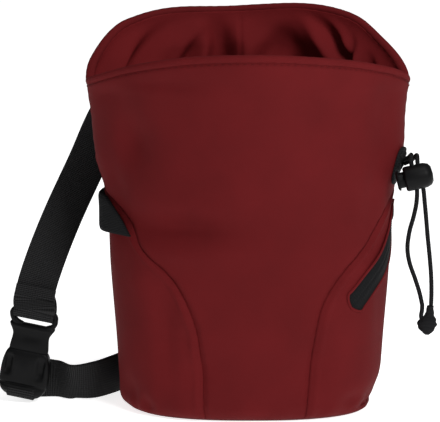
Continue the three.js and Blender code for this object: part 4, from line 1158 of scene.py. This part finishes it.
def belt_frames():
    """The belt's places, width directions and normals, smoothed through the rows of its table."""
    places = BELT_LINE[:, :3] * [RIM_HALF_WIDTH, RIM_HALF_DEPTH, BELT_LOOP_MIDDLE]
    centre, along = spline(places, BELT_STEPS)
    across, _ = spline(unit(BELT_LINE[:, 3:]), BELT_STEPS, power=0.0)
    across = square_to(across, along)
    return centre, across, np.cross(along, across)


def strap_section(width):
    """A flat strap's section of a width, with rounded edges."""
    half, thin = width / 2, WEBBING_THICKNESS / 2
    corner = np.array([[half, -0.45 * thin], [half, 0.45 * thin], [half - 0.35, thin]])
    middle = np.column_stack([np.linspace(half - 1.2, 1.2 - half, 9), np.full(9, thin)])
    upper = np.concatenate([corner, middle, [[0.35 - half, thin]]])
    return np.concatenate([upper, -upper])


def make_belt():
    """The belt: its strap carried along its frames, bowed across its width by a slow wave."""
    centre, across, normal = belt_frames()
    bow = BELT_BOW * np.sin(np.linspace(0, 1, BELT_STEPS) * BELT_WAVE)
    section = strap_section(WEBBING_WIDTH)
    sections = np.tile(section, (BELT_STEPS, 1, 1))
    sections[..., 1] += bow[:, None] * (1 - (section[:, 0] / (WEBBING_WIDTH / 2)) ** 2)[None]
    dress(tube("belt", centre, across, normal, sections), WEBBING, "bag", "webbing", "belt_webbing")
    return centre


def buckle_strap(name, line, width):
    """A strap along a line of points, its width lying across the buckle."""
    places, along = spline(line, FOLD_STEPS)
    wide = square_to(np.broadcast_to(BUCKLE_AXES[:, 0], places.shape), along)
    dress(tube(name, places, wide, np.cross(along, wide), strap_section(width)), WEBBING, "bag", "webbing")


def make_belt_hem(centre):
    """The belt's end, folded round the buckle's upper bar and sewn back on the front, with a
    second fold round the lower bar."""
    run = run_along(centre[:120])
    front = centre[np.searchsorted(run, HEM_IN_FRONT)] - [0, HEM_OFF, 0]
    back = centre[np.searchsorted(run, HEM_BEHIND)] + [0, HEM_OFF, 0]
    hem, fold = (buckle_points(np.pad(turn, ((0, 0), (1, 0)))) for turn in (HEM_TURN, FOLD_TURN))
    buckle_strap("belt_hem", np.concatenate([front, hem, back]), WEBBING_WIDTH + 0.5)
    buckle_strap("belt_fold", fold, WEBBING_WIDTH - 6)


def make_belt_loop():
    """The loop on the back: two ends sewn down by two rows of stitches each, and a middle that
    stands off over the belt."""
    half = BELT_LOOP_LENGTH / 2
    flat = WEBBING_WIDTH / 2 + 1.5
    height = BELT_LOOP_MIDDLE + np.array([-half, 3 - half, -flat, 0, flat, half - 3, half])
    seat = RIM_HALF_DEPTH * DEPTH(height / SIDE_RIM) + SEAM_GAP + WEBBING_THICKNESS / 2
    seat[2:5] = RIM_HALF_DEPTH + WEBBING_THICKNESS + 2 * SEAM_GAP
    places, along = spline(np.column_stack([np.zeros(7), seat, height]), LOOP_STEPS)
    wide = np.tile([1.0, 0, 0], (LOOP_STEPS, 1))
    loop = tube("back_loop", places, wide, np.cross(along, wide), strap_section(BELT_LOOP_WIDTH))
    dress(loop, WEBBING, "bag", "webbing", "belt_loop")
    row = np.column_stack([np.linspace(-11, 11, 11), np.full(11, 0.95), np.zeros(11)])
    spots = np.concatenate([places[i] + row for i in (1, 9, 130, 138)])
    ways, out = (np.tile(way, (len(spots), 1)) for way in ([1.0, 0, 0], [0.0, 1, 0]))
    make_stitches("loop_stitches", spots, ways, out, 1.5, 0.2, WEBBING, "webbing")


# Buckle

BUCKLE_TURN = (Matrix.Rotation(math.radians(-8), 3, "Z") @ Matrix.Rotation(math.radians(10), 3, "Y")
               @ Matrix.Rotation(math.radians(90), 3, "X"))
BUCKLE_AXES = np.array(BUCKLE_TURN)
BUCKLE_PLACE = np.array([-111.5, 0.0, 26.6])


# Place along the buckle, half width and half thickness of its two bodies
SOCKET_OUTLINE = np.array([
    [-24.4, 4.5, 1.0], [-23.9, 7.0, 2.0], [-22.6, 9.4, 3.1], [-20.4, 11.2, 3.9], [-17.5, 12.2, 4.1],
    [-12.0, 12.4, 4.2], [-6.0, 12.0, 4.2], [-2.5, 11.2, 3.9], [-1.0, 10.6, 3.4], [0.0, 10.0, 2.9],
])
INSERT_OUTLINE = np.array([
    [-1.5, 9.6, 2.2], [1.0, 9.9, 2.6], [4.0, 9.6, 2.6], [6.5, 9.3, 2.5], [8.5, 9.4, 2.4],
    [10.5, 10.3, 2.4], [12.0, 11.2, 2.4], [13.2, 11.6, 2.2], [13.8, 11.3, 1.7],
])

# Forms raised on a body's front: height, middle across and along, half width, half length, and how
# steep its sides are. The socket has two finger recesses, a groove above its lower bar, the bar and
# a low dish, and the insert a shoulder across its top and a hollow below it.
SOCKET_FORMS = [
    (-1.7, 8.0, -7.5, 2.0, 5.2, 4),
    (-1.7, -8.4, -7.5, 1.8, 4.6, 4),
    (-1.0, -1.5, -17.6, 11.0, 0.8, 2),
    (0.9, -1.5, -20.3, 9.6, 1.7, 4),
    (0.5, 0, -7.5, 4.5, 6.0, 2),
]
INSERT_FORMS = [
    (0.7, 0, 12.2, 8.5, 1.0, 2),
    (-0.6, 0, 7.5, 5.0, 2.6, 2),
]

# The insert's bar frame: radius of its corners, their height, and half sizes of its section
FRAME_CORNER, FRAME_TOP = 2.6, 18.2
FRAME_SECTION = [1.35, 2.1]


def buckle_points(local):
    """Points of the buckle's own frame: x across, y up along it, z towards the front."""
    return local @ BUCKLE_AXES.T + BUCKLE_PLACE


def relief(x, y, forms):
    """The sum of the forms: each is 1 round its middle, falling off with the exponential of how far
    away it is, raised to its steepness."""
    return sum(high * np.exp(-np.abs((x - x0) / wide) ** steep - np.abs((y - y0) / tall) ** steep)
               for high, x0, y0, wide, tall, steep in forms)


def buckle_body(name, table, node, forms, rows, sides, power):
    """A moulded body along the buckle's length: a rounded oblong whose half width and half
    thickness come from a table, with its front pushed in or out by its forms."""
    y = np.linspace(table[0, 0], table[-1, 0], rows)[:, None]
    across, out = oblong(sides, power).T
    thick = column(table, 2)(y)
    x = column(table, 1)(y) * across
    z = thick * out
    y = np.broadcast_to(y, x.shape)
    z = z + np.where(z > 0.4 * thick, relief(x, y, forms), 0)
    flat = buckle_points(np.stack([x, y, z], -1)).reshape(-1, 3)
    obj = mesh_object(name, flat, tube_faces(flat, sides, rows), np.zeros((len(flat), 2)))
    return dress(obj, PLASTIC, "bag", "black_plastic", node)


def make_buckle():
    """The side release buckle: a smooth socket, and an insert with round shoulders and an open bar
    frame, whose line has two quarter circles for its upper corners."""
    buckle_body("buckle_case", SOCKET_OUTLINE, "buckle_socket", SOCKET_FORMS, 110, 112, 0.35)
    buckle_body("buckle_tongue", INSERT_OUTLINE, "buckle_insert", INSERT_FORMS, 80, 96, 0.45)
    corner = np.radians(np.linspace(0, 90, 7))
    bend, turned = FRAME_CORNER * np.cos(corner), FRAME_CORNER * np.sin(corner)
    line = np.concatenate([
        [(7.5, 12.9), (10.4, 14.4), (11.3, 16.0)],
        np.column_stack([8.7 + bend, FRAME_TOP + turned]),
        np.column_stack([-9.0 - turned, FRAME_TOP + bend]),
        [(-10.6, 15.6), (-8.6, 14.0), (-5.5, 12.9)],
    ])
    places, along = spline(buckle_points(np.pad(line * [0.965, 1], ((0, 0), (0, 1)))), 90)
    out = np.broadcast_to(BUCKLE_AXES[:, 2], places.shape)
    side = unit(np.cross(along, out))
    frame_ring = tube("buckle_bar_frame", places, side, out, oblong(16, 0.6) * FRAME_SECTION)
    dress(frame_ring, PLASTIC, "bag", "black_plastic")


# Cord lock and eyelet

WELD_WITHIN = 0.02
SHARP_EDGE = math.radians(35)


def softened(node, name, body, width):
    """A copy of a hard node's mesh, welded and with its sharp edges rounded by a bevel."""
    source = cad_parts[node]
    mesh = source.data.copy()
    mesh.transform(source.matrix_world)
    obj = bpy.data.objects.new(name, mesh)
    bpy.context.scene.collection.objects.link(obj)
    weld = obj.modifiers.new("weld", "WELD")
    weld.merge_threshold = WELD_WITHIN * MM
    bevel = obj.modifiers.new("bevel", "BEVEL")
    bevel.width = width * MM
    bevel.segments = 3
    bevel.limit_method = "ANGLE"
    bevel.angle_limit = SHARP_EDGE
    mesh.polygons.foreach_set("use_smooth", np.full(len(mesh.polygons), True))
    dress(obj, PLASTIC, body, "black_plastic", node)


def make_lock():
    """The cord lock's barrel and its plunger, which is the one piece that moves."""
    softened("cord_lock_barrel", "lock_barrel", "bag", 0.45)
    softened("cord_lock_plunger", "lock_plunger", "plunger", 0.25)


EYELET_ROWS, EYELET_COLUMNS = 40, 30
EYELET_TURN, EYELET_HEIGHT = math.radians(-13), 123.0
EYELET_HALF_WIDTH, EYELET_HALF_HEIGHT = 5.6, 9.4
EYELET_RADIUS = 44.0
HOLE_ABOVE, HOLE_HALF_WIDTH, HOLE_HALF_HEIGHT = 3.5, 4.2, 5.0

# Its thickness, the height and width of the ring, the depth and size of the hollow, and its bumps
PATCH_THICKNESS, RING_HEIGHT, RING_WIDTH = 0.7, 0.9, 0.25
HOLLOW_DEPTH, HOLLOW_SIZE, PATCH_BUMPS = 0.5, 0.7, 0.125


def make_eyelet():
    """The cord's outlet: a black bound patch on the side, as wide at each height as a rounded oval,
    with a raised ring and a hollow inside it."""
    up = np.linspace(-1, 1, EYELET_ROWS)[:, None]
    side = np.linspace(-1, 1, EYELET_COLUMNS)[None]
    x = side * (EYELET_HALF_WIDTH * np.sqrt(np.maximum(0.0, 1 - np.abs(up) ** 2.6)) + 0.15)
    y = up * EYELET_HALF_HEIGHT + 0 * side
    ring = np.hypot(x / HOLE_HALF_WIDTH, (y - HOLE_ABOVE) / HOLE_HALF_HEIGHT)
    hollow = HOLLOW_DEPTH * np.exp(-(ring / HOLLOW_SIZE) ** 4)
    stand = PATCH_THICKNESS + RING_HEIGHT * bell(ring - 1, RING_WIDTH) - hollow
    stand = stand * np.sqrt(np.clip(1.02 - side ** 8, 0, 1)) + PATCH_BUMPS * np.sin(up * 21 + side * 3)
    turn = EYELET_TURN + x / EYELET_RADIUS
    height = EYELET_HEIGHT + y
    outer = shell_point(turn, height, -stand)
    inner = shell_point(turn, height, -0.05)
    patch = wall("cord_outlet", outer, inner, uv=np.stack([x, height], -1))
    dress(patch, ELASTIC, "bag", "black_plastic", "cord_eyelet")


def make_all():
    make_camera()
    near, near_path = make_cord("drawcord_near", NEAR_STRAND, "drawcord_near_strand")
    far, far_path = make_cord("drawcord_far", FAR_STRAND, "drawcord_far_strand")
    lump, tail = make_knot()
    make_shell()
    make_base()
    make_rim()
    make_collar()
    make_rim_stitches()
    make_zip()
    make_welt()
    make_slider()
    make_brush_loop()
    make_belt_hem(make_belt())
    make_belt_loop()
    make_buckle()
    make_lock()
    make_eyelet()
    make_stage()
    make_lights()


make_all()
